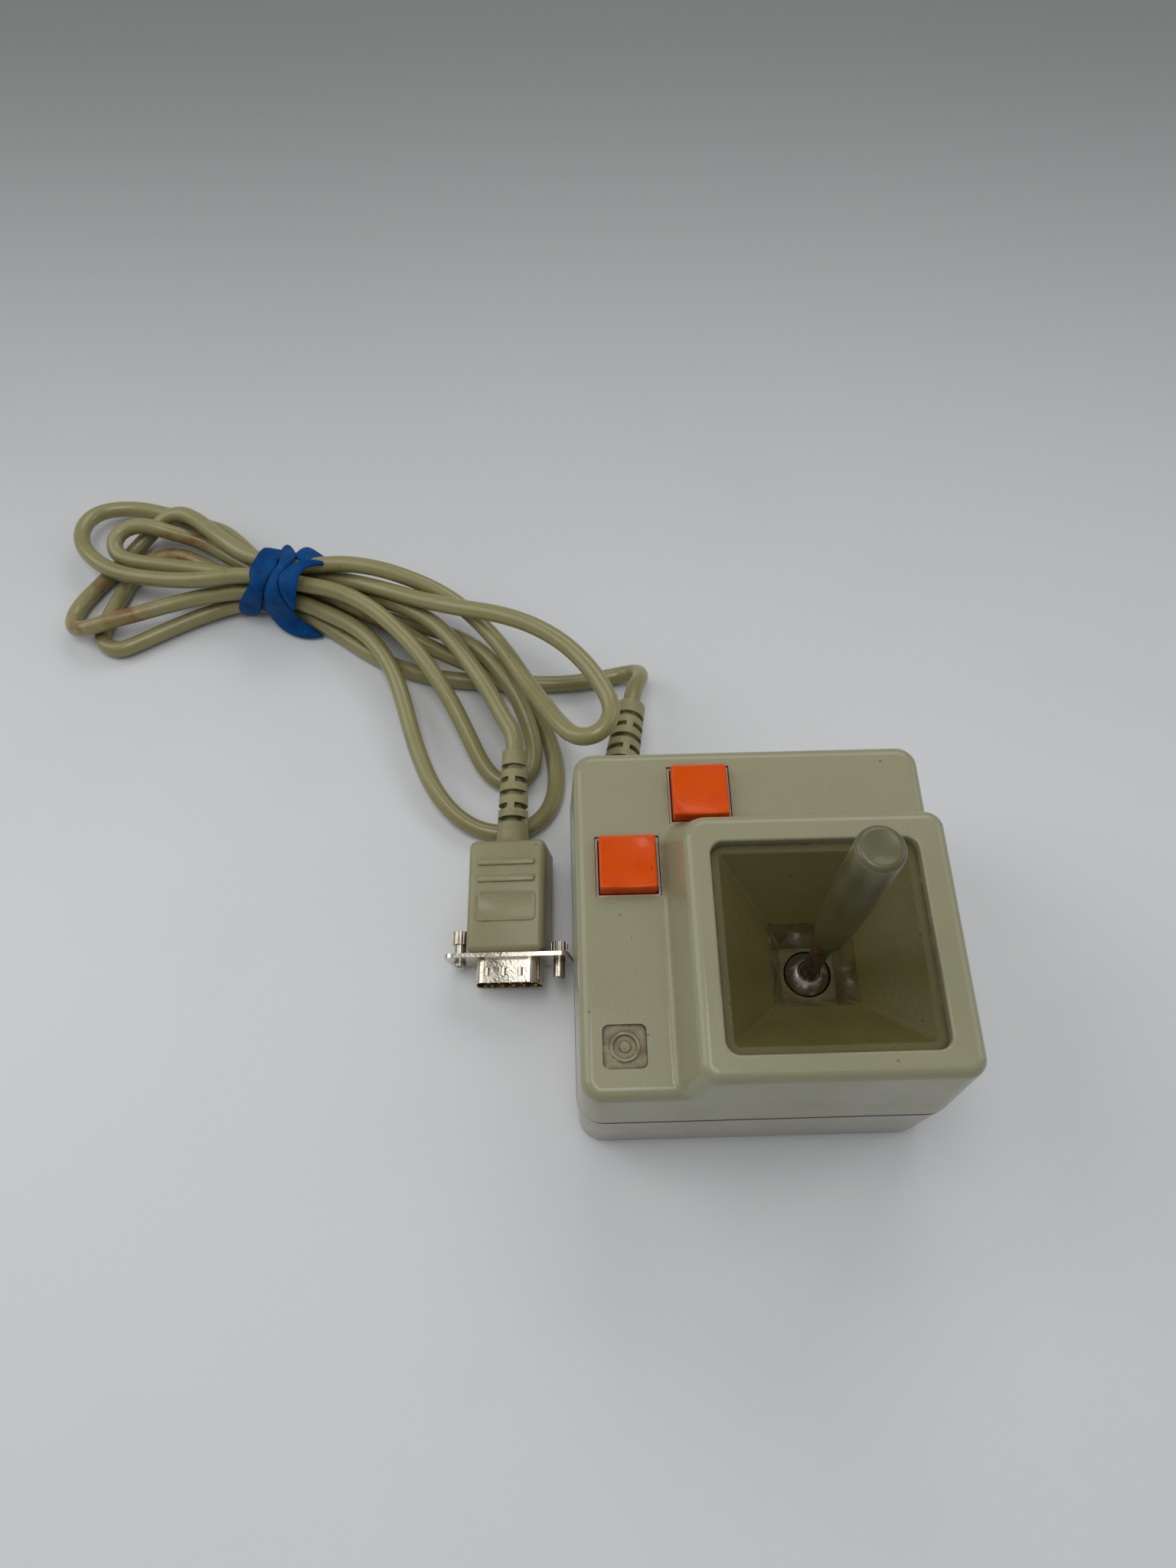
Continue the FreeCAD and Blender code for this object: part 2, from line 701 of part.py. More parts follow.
# ---------------------------------------------------------------- buttons
def switch(name, x, y):
    """A push switch: its square sleeve shows as a thin frame round the cap."""
    sleeve = fuse(
        block("sleeve_side", "sleeve_side", "deck_height - 0.6 - switch_bottom",
              f"{x} - sleeve_side / 2", f"{y} - sleeve_side / 2", "switch_bottom"),
        block("sleeve_side + 2", "sleeve_side + 2", "2", f"{x} - sleeve_side / 2 - 1",
              f"{y} - sleeve_side / 2 - 1", "deck_height - top_wall - 2"),
    )
    inside = block("sleeve_side - 0.9", "sleeve_side - 0.9", "20", f"{x} - sleeve_side / 2 + 0.45",
                   f"{y} - sleeve_side / 2 + 0.45", "switch_bottom + 2")
    keep(f"switch_{name}_sleeve", cut(sleeve, inside))
    group(f"switch_{name}_contacts", [
        block("0.5", "2.4", "5", f"{x} + {step}", f"{y} - 1.2", "switch_bottom - 5")
        for step in (-3.25, 2.75)
    ])
    cap_foot = "deck_height + cap_rise - cap_tall"
    cap = fuse(
        prism("cap_side", "cap_side", "0.6", x, y, cap_foot, "cap_tall"),
        rod("2", f"{cap_foot} - switch_bottom - button_travel - 2.6", x, y,
            "switch_bottom + 2.6 + button_travel"),
    )
    dish = ball("60", x, y, "deck_height + cap_rise + 59.5")
    keep(f"button_{name}_cap", cut(cap, dish))
    coil_spring(f"switch_{name}_spring", x, y, "switch_bottom + 2", cap_foot)


def coil_spring(label, x, y, foot, top):
    """The return spring under a cap: an open helix of round wire, ten points to the turn."""
    wire = 0.35
    radius = 3.6
    low = size(foot) + wire
    rise = size(top) - wire - low
    steps = 45
    points = [
        vector(x, y, "0") + Vector(
            radius * math.cos(math.radians(36 * step)),
            radius * math.sin(math.radians(36 * step)),
            low + rise * step / steps,
        )
        for step in range(steps + 1)
    ]
    tube(label, points, wire)


# ---------------------------------------------------------------- wiring
def board():
    x, y, z = "board_left", "board_front", "board_height"
    holes = [rod("0.9", "5", a, b, f"{z} - 1") for a, b in BOARD_POSTS]
    keep("circuit_board", cut(block("19", "22", "1.6", x, y, z), *holes))
    group("board_screws", [
        fuse(rod("1.8", "1", a, b, f"{z} + 1.6"), rod("0.9", "1.6", a, b, z)) for a, b in BOARD_POSTS
    ])
    keep("board_header", block("4", "12", "6", f"{x} + 7.5", f"{y} + 5", f"{z} + 1.6"))
    keep("board_capacitor", rod("2", "6.5", f"{x} + 15", f"{y} + 11", f"{z} + 1.6"))


def smooth_path(points):
    """Straight runs joined by tangent arcs, each arc as large as its two runs allow."""
    edges = []
    radii = []
    start = points[0]
    for before, corner, after in zip(points, points[1:], points[2:]):
        back, on = before - corner, after - corner
        turn = math.pi - back.getAngle(on)
        reach = 0.45 * min(back.Length, on.Length)
        radii.append(reach / math.tan(turn / 2))
        back.normalize()
        on.normalize()
        first, last = corner + back * reach, corner + on * reach
        bisector = (back + on).normalize()
        centre = corner + bisector * (radii[-1] / math.cos(turn / 2))
        edges.append(Part.LineSegment(start, first).toShape())
        edges.append(Part.Arc(first, centre - bisector * radii[-1], last).toShape())
        start = last
    edges.append(Part.LineSegment(start, points[-1]).toShape())
    return Part.Wire(edges), radii


def tube(label, points, radius):
    """A round tube along a route; its volume is compared with its section times its length."""
    path, radii = smooth_path(points)
    section = Part.Wire(Part.makeCircle(radius, points[0], points[1] - points[0]))
    shape = path.makePipeShell([section], True, False)
    expected = math.pi * radius ** 2 * path.Length
    print(f"{label}: {path.Length:.0f} mm, volume {shape.Volume / expected:.4f} of section times length")
    print("   arc radii:", " ".join(f"{r:.0f}" for r in radii))
    shown(label, shape)


def wiring():
    """The cord's wires from the gland to the header, and a lead from there to the sensors."""
    top = size("board_height + 7.6")
    header = vector("board_left + 9.5", "board_front + 11", "0")
    inlet = vector("gland_x", "gland_y - 4.2", "gland_z")
    tube("wires_to_board", [
        inlet, Vector(inlet.x + 1.5, 26, 17.5), Vector(-28, 14, 15), Vector(-24.5, 2, 15),
        Vector(-21.5, -8, 17.5), Vector(header.x, header.y + 5, top + 4.5),
        Vector(header.x, header.y + 2.5, top + 2), Vector(header.x + 0.3, header.y + 2.5, top),
    ], 1.2)
    tube("wires_to_sensors", [
        Vector(header.x, header.y - 3, top), Vector(header.x + 0.6, header.y - 3, top + 2.5),
        Vector(header.x + 3.5, header.y - 2, top + 4.5), Vector(-12.5, -18, top + 3),
        Vector(-11.5, -12, top + 0.5), Vector(-11.5, -4, top - 1), Vector(-10.8, 6, top - 1.2),
        Vector(-8.5, 13, top - 0.6), Vector(-2, 16, top), Vector(5, 15.4, top + 0.8),
    ], 0.8)


# ---------------------------------------------------------------- strain reliefs
def ribbed_cone(foot_radius, end_radius, length, plain, slots):
    """A slotted cone along +Z: rings joined to the core by webs that change sides from ring to ring."""
    solid = Part.makeCone(foot_radius, end_radius, length)
    pitch = (length - plain - 2.0) / slots
    core = Part.makeCylinder(end_radius - 0.9, length)
    for number in range(slots):
        gap = Part.makeCylinder(foot_radius + 1, 0.42 * pitch, Vector(0, 0, plain + number * pitch))
        web = Part.makeBox(30, 1.8, length, Vector(-15, -0.9, 0))
        web.rotate(Vector(), Vector(0, 0, 1), 90 * (number % 2))
        solid = solid.cut(gap.cut(core).cut(web))
    return solid


GLAND_LEAN = Vector(5.4, 30.3, -5.3).normalize()


def cord_gland():
    """The case's strain relief: square through the back wall, then leaning right and down."""
    sunk = 1.3
    foot = vector("gland_x", "gland_y", "gland_z")
    cone_part = ribbed_cone(4.9, 3.9, size("gland_length") + sunk, 2.0 + sunk, 7)
    cone_part.Placement = Placement(foot - GLAND_LEAN * sunk, Rotation(Vector(0, 0, 1), GLAND_LEAN))
    inside = Part.makeBox(20, 10, 20, foot - Vector(10, 10, 10))
    root = Part.makeCylinder(4.4, 3.3, foot - Vector(0, 3.2, 0), Vector(0, 1, 0))
    collar = Part.makeCylinder(5.6, 1.1, foot - Vector(0, 4.2, 0), Vector(0, 1, 0))
    shown("cord_gland", cone_part.cut(inside).fuse([root, collar]).removeSplitter())


def gland_end():
    return vector("gland_x", "gland_y", "gland_z") + GLAND_LEAN * size("gland_length")


# ---------------------------------------------------------------- cord and its band
ROUTE = [
    # out of the strain relief and down to the floor
    (-20.6, 82.6, 9.6), (-20.8, 87.0, 6.0),
    (-24.8, 88.3, 3.0), (-31.0, 87.3, 2.4), (-43.0, 85.5, 2.4), (-58.0, 86.6, 2.4),
    (-74.0, 87.8, 2.4), (-87.0, 91.2, 2.4), (-98.0, 97.3, 2.4), (-108.4, 105.6, 2.4),
    # lower front lobe
    (-120.0, 112.7, 3.8), (-134.5, 116.3, 3.8), (-146.0, 113.7, 2.5),
    (-158.0, 107.8, 2.4), (-166.5, 103.0, 2.4), (-171.2, 100.8, 2.4), (-175.8, 102.4, 2.4),
    (-177.6, 107.0, 2.4), (-175.8, 114.0, 2.4), (-172.8, 123.0, 2.4), (-170.4, 129.8, 2.4),
    (-165.8, 134.4, 2.4), (-159.0, 135.4, 2.4), (-152.0, 132.2, 2.4), (-144.0, 127.0, 2.6),
    # second loop under the boot
    (-133.3, 121.3, 3.8), (-118.7, 117.7, 3.8), (-107.0, 114.2, 2.5), (-95.0, 109.8, 3.0),
    (-82.0, 104.4, 5.5),
    (-71.5, 97.2, 10.2), (-62.8, 88.8, 12.9), (-56.4, 79.4, 11.6), (-52.4, 70.8, 8.6),
    (-50.5, 63.6, 5.4), (-51.4, 57.8, 2.9), (-55.4, 54.2, 2.4), (-60.6, 54.6, 2.6),
    (-64.6, 58.6, 3.8), (-68.0, 65.4, 6.4), (-72.6, 75.0, 9.6), (-79.3, 86.5, 12.0),
    (-87.0, 96.5, 13.2), (-96.0, 105.5, 14.0), (-106.4, 111.8, 14.2),
    # outer left loop
    (-119.4, 115.0, 14.0), (-134.0, 118.6, 14.0), (-147.5, 117.0, 13.2), (-160.0, 119.4, 11.0),
    (-172.0, 123.2, 9.0), (-180.6, 128.6, 8.0), (-186.6, 135.8, 7.0), (-188.2, 143.2, 6.2),
    (-185.8, 149.3, 5.2), (-180.0, 152.3, 4.2), (-172.0, 152.8, 3.2), (-162.5, 150.4, 2.4),
    (-152.5, 145.6, 3.4), (-143.6, 139.8, 6.8), (-137.0, 132.4, 8.8),
    # big right loop over the strain relief
    (-132.0, 126.3, 9.0), (-117.5, 122.7, 9.0), (-106.5, 118.8, 9.8), (-96.0, 113.4, 13.4),
    (-83.0, 105.5, 17.6),
    (-69.5, 98.5, 22.5), (-59.5, 94.3, 25.5), (-50.5, 89.5, 27.2), (-42.3, 83.3, 28.0),
    (-35.8, 75.5, 28.4), (-31.3, 67.5, 28.4), (-29.6, 61.8, 28.3), (-31.1, 57.1, 27.9),
    (-34.9, 54.5, 27.1), (-39.4, 55.2, 25.9), (-43.2, 59.8, 24.2), (-47.4, 67.6, 21.6),
    (-52.4, 76.8, 18.8),
    (-57.5, 86.8, 17.4), (-63.3, 95.6, 16.4), (-69.5, 102.8, 16.4), (-77.0, 108.6, 17.0),
    (-86.0, 113.4, 17.4), (-96.0, 117.6, 17.0), (-106.5, 120.4, 15.6),
    # hook at the back and the lower left loop
    (-118.0, 120.4, 14.0), (-132.6, 124.0, 14.0), (-140.5, 130.5, 13.4), (-147.0, 137.0, 11.6),
    (-152.2, 142.6, 10.0), (-157.2, 146.0, 8.8), (-162.2, 146.2, 7.2), (-167.2, 142.8, 4.4),
    (-171.6, 137.8, 2.8), (-176.0, 131.2, 2.4), (-181.3, 123.6, 2.4), (-185.4, 117.2, 2.4),
    (-186.6, 111.4, 3.0), (-184.2, 106.8, 5.0), (-179.2, 105.4, 7.4), (-173.5, 107.0, 8.2),
    (-166.0, 109.4, 8.0), (-157.0, 112.6, 7.8), (-146.5, 115.4, 8.0),
    # third loop under the boot
    (-134.5, 116.3, 9.0), (-120.0, 112.7, 9.0), (-110.4, 108.2, 8.2), (-102.3, 103.8, 7.6),
    (-96.0, 98.0, 7.6),
    (-91.0, 89.8, 7.6), (-87.6, 80.5, 7.4), (-84.9, 70.5, 7.0), (-81.8, 60.5, 6.0),
    (-77.8, 51.5, 4.8), (-72.4, 44.6, 3.4), (-66.0, 40.4, 2.5), (-59.0, 39.0, 2.4),
    (-52.5, 40.2, 2.4), (-47.6, 44.4, 2.4), (-45.0, 50.5, 2.4), (-44.6, 58.0, 2.4),
    (-46.0, 66.0, 3.0), (-49.6, 74.0, 4.8), (-55.2, 81.0, 7.0), (-62.5, 87.0, 7.8),
    (-71.5, 92.4, 5.4), (-82.0, 98.0, 5.6), (-91.0, 103.6, 7.4), (-100.4, 108.8, 8.2),
    (-109.0, 113.8, 8.8),
    # inner left loop
    (-118.7, 117.7, 9.0), (-133.3, 121.3, 9.0), (-145.0, 124.0, 8.0), (-155.5, 126.4, 7.6),
    (-164.5, 128.0, 7.6),
    (-169.8, 128.9, 7.6), (-174.0, 130.6, 7.8), (-176.3, 134.2, 8.2), (-175.5, 138.2, 9.0),
    (-171.8, 140.6, 9.6), (-166.9, 140.7, 9.8), (-161.0, 139.4, 8.4), (-153.8, 138.8, 5.6),
    (-147.0, 136.0, 3.8), (-139.8, 131.2, 3.2),
    # up to the plug
    (-132.0, 126.3, 3.8), (-117.5, 122.7, 3.8), (-106.5, 119.0, 4.4), (-95.0, 112.8, 8.0),
    (-84.5, 105.6, 12.3),
    (-76.0, 97.6, 14.4), (-68.5, 86.6, 15.0), (-62.6, 76.4, 15.0), (-58.3, 67.2, 15.0),
]


def cord():
    """One cord from the case to the plug, gathered into four loops on the left and three on the right."""
    boot_end = vector("0", "flange_thick + hood_long + boot_long", "0")
    ends = [plug_placement().multVec(boot_end + Vector(0, reach, 0)) for reach in (5, 0)]
    starts = [gland_end(), gland_end() + GLAND_LEAN * 7]
    route = starts + [Vector(*point) for point in ROUTE] + ends
    tube("cord", route, size("cord_diameter") / 2)


def cord_band():
    """The rubber band round the middle of the gathered cord, as a plain flattened ring."""
    outer = prism("18.4", "17.7", "5.5", "0", "8.9", "-7", "14")
    inner = prism("16.2", "15.5", "4.4", "0", "8.9", "-8", "16")
    band = cut(outer, inner)
    across, up = Vector(0.24, 0.97, 0), Vector(0, 0, 1)
    band.Placement = Placement(Vector(-126, 119.5, 0), Rotation(across, up, Vector(), "XYZ"))
    keep("cord_band", band)


# ---------------------------------------------------------------- plug
# Plug pieces are made in the plug's own frame and laid beside the case by this placement.
def plug_placement():
    turn = Rotation()
    for axis, angle in ((Vector(0, 0, 1), "plug_yaw"), (Vector(1, 0, 0), "plug_pitch"),
                        (Vector(0, 1, 0), "plug_roll")):
        turn = turn * Rotation(axis, size(angle))
    return Placement(vector("plug_x", "plug_y", "plug_z"), turn)


def lay(obj):
    obj.Placement = plug_placement()
    return obj


def along_plug(width, tall, radius, y, length):
    """A block with four rounded edges that runs along the plug, centred on its axis."""
    body = new_body("run")
    sketch = sketch_on(body, "XZ_Plane", f"-({y}) - ({length})")
    draw_rectangle(sketch, width, tall, radius, "0", "0")
    pad = body.newObject("PartDesign::Pad", "pad")
    pad.Profile = sketch
    pad.setExpression("Length", formula(length))
    return body


def d_block(inset, y, length):
    """A block with the plug shell's D outline: the wide side below, the narrow side above."""
    body = new_body("d_outline")
    sketch = sketch_on(body, "XZ_Plane", f"-({y}) - ({length})")
    low = f"-(shell_tall / 2 - ({inset}))"
    high = f"shell_tall / 2 - ({inset})"
    wide = f"shell_width / 2 - ({inset})"
    narrow = f"shell_width / 2 - ({inset}) - (shell_tall - 2 * ({inset})) * tan(shell_slant)"
    draw_polygon(sketch, [(f"-({wide})", low), (wide, low), (narrow, high), (f"-({narrow})", high)])
    pad = body.newObject("PartDesign::Pad", "pad")
    pad.Profile = sketch
    pad.setExpression("Length", formula(length))
    doc.recompute()
    edges = [
        f"Edge{number}" for number, edge in enumerate(pad.Shape.Edges, start=1)
        if abs(edge.Vertexes[0].Y - edge.Vertexes[-1].Y) > 0.5
    ]
    corner = body.newObject("PartDesign::Fillet", "corner")
    corner.Base = (pad, edges)
    corner.setExpression("Radius", formula(f"2.6 - ({inset})"))
    return body


def plug_connector():
    half = "screw_spacing / 2"
    holes = [rod("1.6", "3", f"{side} * {half}", "-1", "0", "y") for side in (-1, 1)]
    flange = cut(along_plug("flange_width", "flange_tall", "2", "0", "flange_thick"), *holes)
    keep("plug_flange", lay(flange))
    dents = [rod("0.75", "1.9", str(x), "1.6 - shell_long", "shell_tall / 2 - 0.35", "y")
             for x in (-4.7, -0.6, 3.5)]
    outside = fuse(d_block("0", "-shell_long", "shell_long"), *dents)
    shell = cut(outside, d_block("0.45", "-shell_long - 1", "shell_long + 2"))
    keep("plug_shell", lay(shell))
    keep("plug_insulator", lay(d_block("0.5", "-0.8", "0.8")))
    pins = []
    for count, height in ((5, -1.42), (4, 1.42)):
        for number in range(count):
            across = 2.74 * (number - (count - 1) / 2)
            pin = fuse(rod("0.5", "4", str(across), "-4.8", str(height), "y"),
                       cone("0.2", "0.5", "0.4", str(across), "-5.2", str(height), "y"))
            pins.append(pin)
    lay(group("plug_pins", pins))


def plug_hood():
    """The moulded grip of the plug, with two raised bars and a blank raised frame on top."""
    y = "flange_thick"
    bodywork = along_plug("hood_width", "hood_tall", "2.6", y, "hood_long")
    top = "hood_tall / 2 - 0.3"
    raised = [
        prism("14.4", "2", "0.9", "0", f"{y} + {place}", top, "0.75") for place in (23.5, 19.2)
    ]
    frame = cut(prism("15.2", "7.4", "1.4", "0", f"{y} + 12.2", top, "0.7"),
                prism("13.8", "6", "0.9", "0", f"{y} + 12.2", "hood_tall / 2", "2"))
    keep("plug_hood", lay(fuse(bodywork, *raised, frame)))


def plug_boot():
    boot = ribbed_cone(4.2, 3.25, size("boot_long"), 6.0, 5)
    behind_hood = Placement(vector("0", "flange_thick + hood_long", "0"), TURNS["y"])
    shown("plug_boot", boot, plug_placement().multiply(behind_hood))


def jackscrew(name, side, back):
    """A thumbscrew with a knurled head behind the flange; back is how far it is drawn out."""
    x = f"{side} * screw_spacing / 2"
    head_radius = 2.15
    head = rod(head_radius, "3.2", x, f"flange_thick + 0.1 + {back}", "0", "y")
    notches = []
    for number in range(12):
        angle = math.radians(30 * number)
        notches.append(rod("0.28", "5", f"{x} + {head_radius * math.cos(angle):.4f}", f"{back}",
                           f"{head_radius * math.sin(angle):.4f}", "y"))
    slot = block("6", "0.8", "0.8", f"{x} - 3", f"flange_thick + 2.6 + {back}", "-0.4")
    shank = rod("1.42", "5.6", x, f"flange_thick - 5.2 + {back}", "0", "y")
    tip = cone("1", "1.42", "0.5", x, f"flange_thick - 5.7 + {back}", "0", "y")
    keep(f"jackscrew_{name}", lay(fuse(cut(head, *notches, slot), shank, tip)))


# ---------------------------------------------------------------- build, check and write
upper_case()
lower_case()
case_hardware()
badge()
stick_well()
ball_cap()
stick()
stick_grip()
bail("cross_bail", "x")
bail("carrier_bail", "y")
gimbal_frame()
for axis in AXES:
    sensor(axis)
    centring_spring(axis)
for name, (x, y) in BUTTONS.items():
    switch(name, x, y)
board()
wiring()
cord_gland()
cord()
cord_band()
plug_connector()
plug_hood()
plug_boot()
jackscrew("left", -1, 3.2)
jackscrew("right", 1, 0)
doc.recompute()

for obj in doc.Objects:
    if {"Invalid", "Error"} & set(obj.State):
        raise RuntimeError(f"{obj.Name} ({obj.Label}) is {obj.State}")
os.makedirs("parts", exist_ok=True)
for label, obj in NODES.items():
    if obj.Shape.isNull() or not obj.Shape.isValid():
        raise RuntimeError(f"{label} has no valid shape")
for label, obj in NODES.items():
    obj.Shape.exportStep(f"parts/{label}.step")
print(len(NODES), "sub-parts written")
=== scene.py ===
"""Looks of the two-button joystick, its tied cord and its nine-pin plug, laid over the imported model.

Lengths are in metres, or in millimetres times MM."""
import math

import bmesh
import bpy
from mathutils import Euler, Matrix, Vector


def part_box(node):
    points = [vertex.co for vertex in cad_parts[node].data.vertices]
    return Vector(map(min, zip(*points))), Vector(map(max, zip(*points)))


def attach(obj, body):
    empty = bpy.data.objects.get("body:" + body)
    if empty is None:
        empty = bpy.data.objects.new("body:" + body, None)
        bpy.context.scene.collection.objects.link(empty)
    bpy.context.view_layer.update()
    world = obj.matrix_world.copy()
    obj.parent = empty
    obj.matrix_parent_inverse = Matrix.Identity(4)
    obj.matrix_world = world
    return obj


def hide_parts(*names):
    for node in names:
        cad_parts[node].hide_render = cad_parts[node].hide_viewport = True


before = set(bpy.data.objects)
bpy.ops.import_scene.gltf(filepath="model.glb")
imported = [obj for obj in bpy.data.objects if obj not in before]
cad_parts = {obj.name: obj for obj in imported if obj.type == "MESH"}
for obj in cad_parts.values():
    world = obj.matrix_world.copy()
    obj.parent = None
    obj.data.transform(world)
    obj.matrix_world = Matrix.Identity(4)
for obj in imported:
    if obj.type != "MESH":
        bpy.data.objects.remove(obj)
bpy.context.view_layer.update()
MM = 0.001

# Heights at which a finish changes, each pair from none of it to all of it.
UPPER_SEAM = (0.0268, 0.02635)
LOWER_SEAM = (0.0254, 0.0258)
WELL_PIT = (0.0422, 0.0416)
WELL_LEDGE = (0.0546, 0.0549)
# The grip is painted lighter above these heights, as its lit top, and darker below, as painted shade.
GRIP_LIT_TOP = (0.098, 0.1045)

CORD_RADIUS = 2.35 * MM

# A button's cap: how tall its wall is, how round its edges are, and how deep its top is dished.
CAP_WALL = 9.8 * MM
CAP_ROUND = 0.55 * MM
CAP_DISH = 0.55 * MM


def tone(red, green, blue):
    """A colour given as it looks on screen, 0 to 255, as Blender's linear RGBA."""
    linear = [((c / 255 + 0.055) / 1.055) ** 2.4 if c > 10 else c / 255 / 12.92 for c in (red, green, blue)]
    return (*linear, 1.0)


# ---------------------------------------------------------------- camera
camera = bpy.data.objects.new("camera", bpy.data.cameras.new("camera"))
bpy.context.scene.collection.objects.link(camera)
camera.data.sensor_fit = "VERTICAL"
camera.data.sensor_height = 36
camera.data.lens = 25.49
camera.data.clip_start = 0.01
sight = Vector((0.0124, 0.4507, -0.8926))
camera.location = Vector((-39.9, -83.4, 273.5)) * MM
camera.rotation_euler = sight.to_track_quat("-Z", "Y").to_euler()
bpy.context.scene.camera = camera
bpy.context.scene.view_settings.view_transform = "Standard"


# ---------------------------------------------------------------- cord's route
# Millimetres, from the case's strain relief to the end of the plug's boot.
CORD_ROUTE = [
    (-24.14, 70.53, 14.04), (-22.93, 77.32, 12.85),
    # out of the strain relief and down to the floor
    (-20.6, 82.6, 9.6), (-20.8, 87.0, 6.0),
    (-24.8, 88.3, 3.0), (-31.0, 87.3, 2.4), (-43.0, 85.5, 2.4), (-58.0, 86.6, 2.4),
    (-74.0, 87.8, 2.4), (-87.0, 91.2, 2.4), (-98.0, 97.3, 2.4), (-108.4, 105.6, 2.4),
    # lower front lobe
    (-120.0, 112.7, 3.8), (-134.5, 116.3, 3.8), (-146.0, 113.7, 2.5),
    (-158.0, 107.8, 2.4), (-166.5, 103.0, 2.4), (-171.2, 100.8, 2.4), (-175.8, 102.4, 2.4),
    (-177.6, 107.0, 2.4), (-175.8, 114.0, 2.4), (-172.8, 123.0, 2.4), (-170.4, 129.8, 2.4),
    (-165.8, 134.4, 2.4), (-159.0, 135.4, 2.4), (-152.0, 132.2, 2.4), (-144.0, 127.0, 2.6),
    # second loop under the boot
    (-133.3, 121.3, 3.8), (-118.7, 117.7, 3.8), (-107.0, 114.2, 2.5), (-95.0, 109.8, 3.0),
    (-82.0, 104.4, 5.5),
    (-71.5, 97.2, 10.2), (-62.8, 88.8, 12.9), (-56.4, 79.4, 11.6), (-52.4, 70.8, 8.6),
    (-50.5, 63.6, 5.4), (-51.4, 57.8, 2.9), (-55.4, 54.2, 2.4), (-60.6, 54.6, 2.6),
    (-64.6, 58.6, 3.8), (-68.0, 65.4, 6.4), (-72.6, 75.0, 9.6), (-79.3, 86.5, 12.0),
    (-87.0, 96.5, 13.2), (-96.0, 105.5, 14.0), (-106.4, 111.8, 14.2),
    # outer left loop
    (-119.4, 115.0, 14.0), (-134.0, 118.6, 14.0), (-147.5, 117.0, 13.2), (-160.0, 119.4, 11.0),
    (-172.0, 123.2, 9.0), (-180.6, 128.6, 8.0), (-186.6, 135.8, 7.0), (-188.2, 143.2, 6.2),
    (-185.8, 149.3, 5.2), (-180.0, 152.3, 4.2), (-172.0, 152.8, 3.2), (-162.5, 150.4, 2.4),
    (-152.5, 145.6, 3.4), (-143.6, 139.8, 6.8), (-137.0, 132.4, 8.8),
    # big right loop over the strain relief
    (-132.0, 126.3, 9.0), (-117.5, 122.7, 9.0), (-106.5, 118.8, 9.8), (-96.0, 113.4, 13.4),
    (-83.0, 105.5, 17.6),
    (-69.5, 98.5, 22.5), (-59.5, 94.3, 25.5), (-50.5, 89.5, 27.2), (-42.3, 83.3, 28.0),
    (-35.8, 75.5, 28.4), (-31.3, 67.5, 28.4), (-29.6, 61.8, 28.3), (-31.1, 57.1, 27.9),
    (-34.9, 54.5, 27.1), (-39.4, 55.2, 25.9), (-43.2, 59.8, 24.2), (-47.4, 67.6, 21.6),
    (-52.4, 76.8, 18.8),
    (-57.5, 86.8, 17.4), (-63.3, 95.6, 16.4), (-69.5, 102.8, 16.4), (-77.0, 108.6, 17.0),
    (-86.0, 113.4, 17.4), (-96.0, 117.6, 17.0), (-106.5, 120.4, 15.6),
    # hook at the back and the lower left loop
    (-118.0, 120.4, 14.0), (-132.6, 124.0, 14.0), (-140.5, 130.5, 13.4), (-147.0, 137.0, 11.6),
    (-152.2, 142.6, 10.0), (-157.2, 146.0, 8.8), (-162.2, 146.2, 7.2), (-167.2, 142.8, 4.4),
    (-171.6, 137.8, 2.8), (-176.0, 131.2, 2.4), (-181.3, 123.6, 2.4), (-185.4, 117.2, 2.4),
    (-186.6, 111.4, 3.0), (-184.2, 106.8, 5.0), (-179.2, 105.4, 7.4), (-173.5, 107.0, 8.2),
    (-166.0, 109.4, 8.0), (-157.0, 112.6, 7.8), (-146.5, 115.4, 8.0),
    # third loop under the boot
    (-134.5, 116.3, 9.0), (-120.0, 112.7, 9.0), (-110.4, 108.2, 8.2), (-102.3, 103.8, 7.6),
    (-96.0, 98.0, 7.6),
    (-91.0, 89.8, 7.6), (-87.6, 80.5, 7.4), (-84.9, 70.5, 7.0), (-81.8, 60.5, 6.0),
    (-77.8, 51.5, 4.8), (-72.4, 44.6, 3.4), (-66.0, 40.4, 2.5), (-59.0, 39.0, 2.4),
    (-52.5, 40.2, 2.4), (-47.6, 44.4, 2.4), (-45.0, 50.5, 2.4), (-44.6, 58.0, 2.4),
    (-46.0, 66.0, 3.0), (-49.6, 74.0, 4.8), (-55.2, 81.0, 7.0), (-62.5, 87.0, 7.8),
    (-71.5, 92.4, 5.4), (-82.0, 98.0, 5.6), (-91.0, 103.6, 7.4), (-100.4, 108.8, 8.2),
    (-109.0, 113.8, 8.8),
    # inner left loop
    (-118.7, 117.7, 9.0), (-133.3, 121.3, 9.0), (-145.0, 124.0, 8.0), (-155.5, 126.4, 7.6),
    (-164.5, 128.0, 7.6),
    (-169.8, 128.9, 7.6), (-174.0, 130.6, 7.8), (-176.3, 134.2, 8.2), (-175.5, 138.2, 9.0),
    (-171.8, 140.6, 9.6), (-166.9, 140.7, 9.8), (-161.0, 139.4, 8.4), (-153.8, 138.8, 5.6),
    (-147.0, 136.0, 3.8), (-139.8, 131.2, 3.2),
    # up to the plug
    (-132.0, 126.3, 3.8), (-117.5, 122.7, 3.8), (-106.5, 119.0, 4.4), (-95.0, 112.8, 8.0),
    (-84.5, 105.6, 12.3),
    (-76.0, 97.6, 14.4), (-68.5, 86.6, 15.0), (-62.6, 76.4, 15.0), (-58.3, 67.2, 15.0),
    (-55.32, 62.09, 15.06), (-55.46, 57.12, 14.49),
]


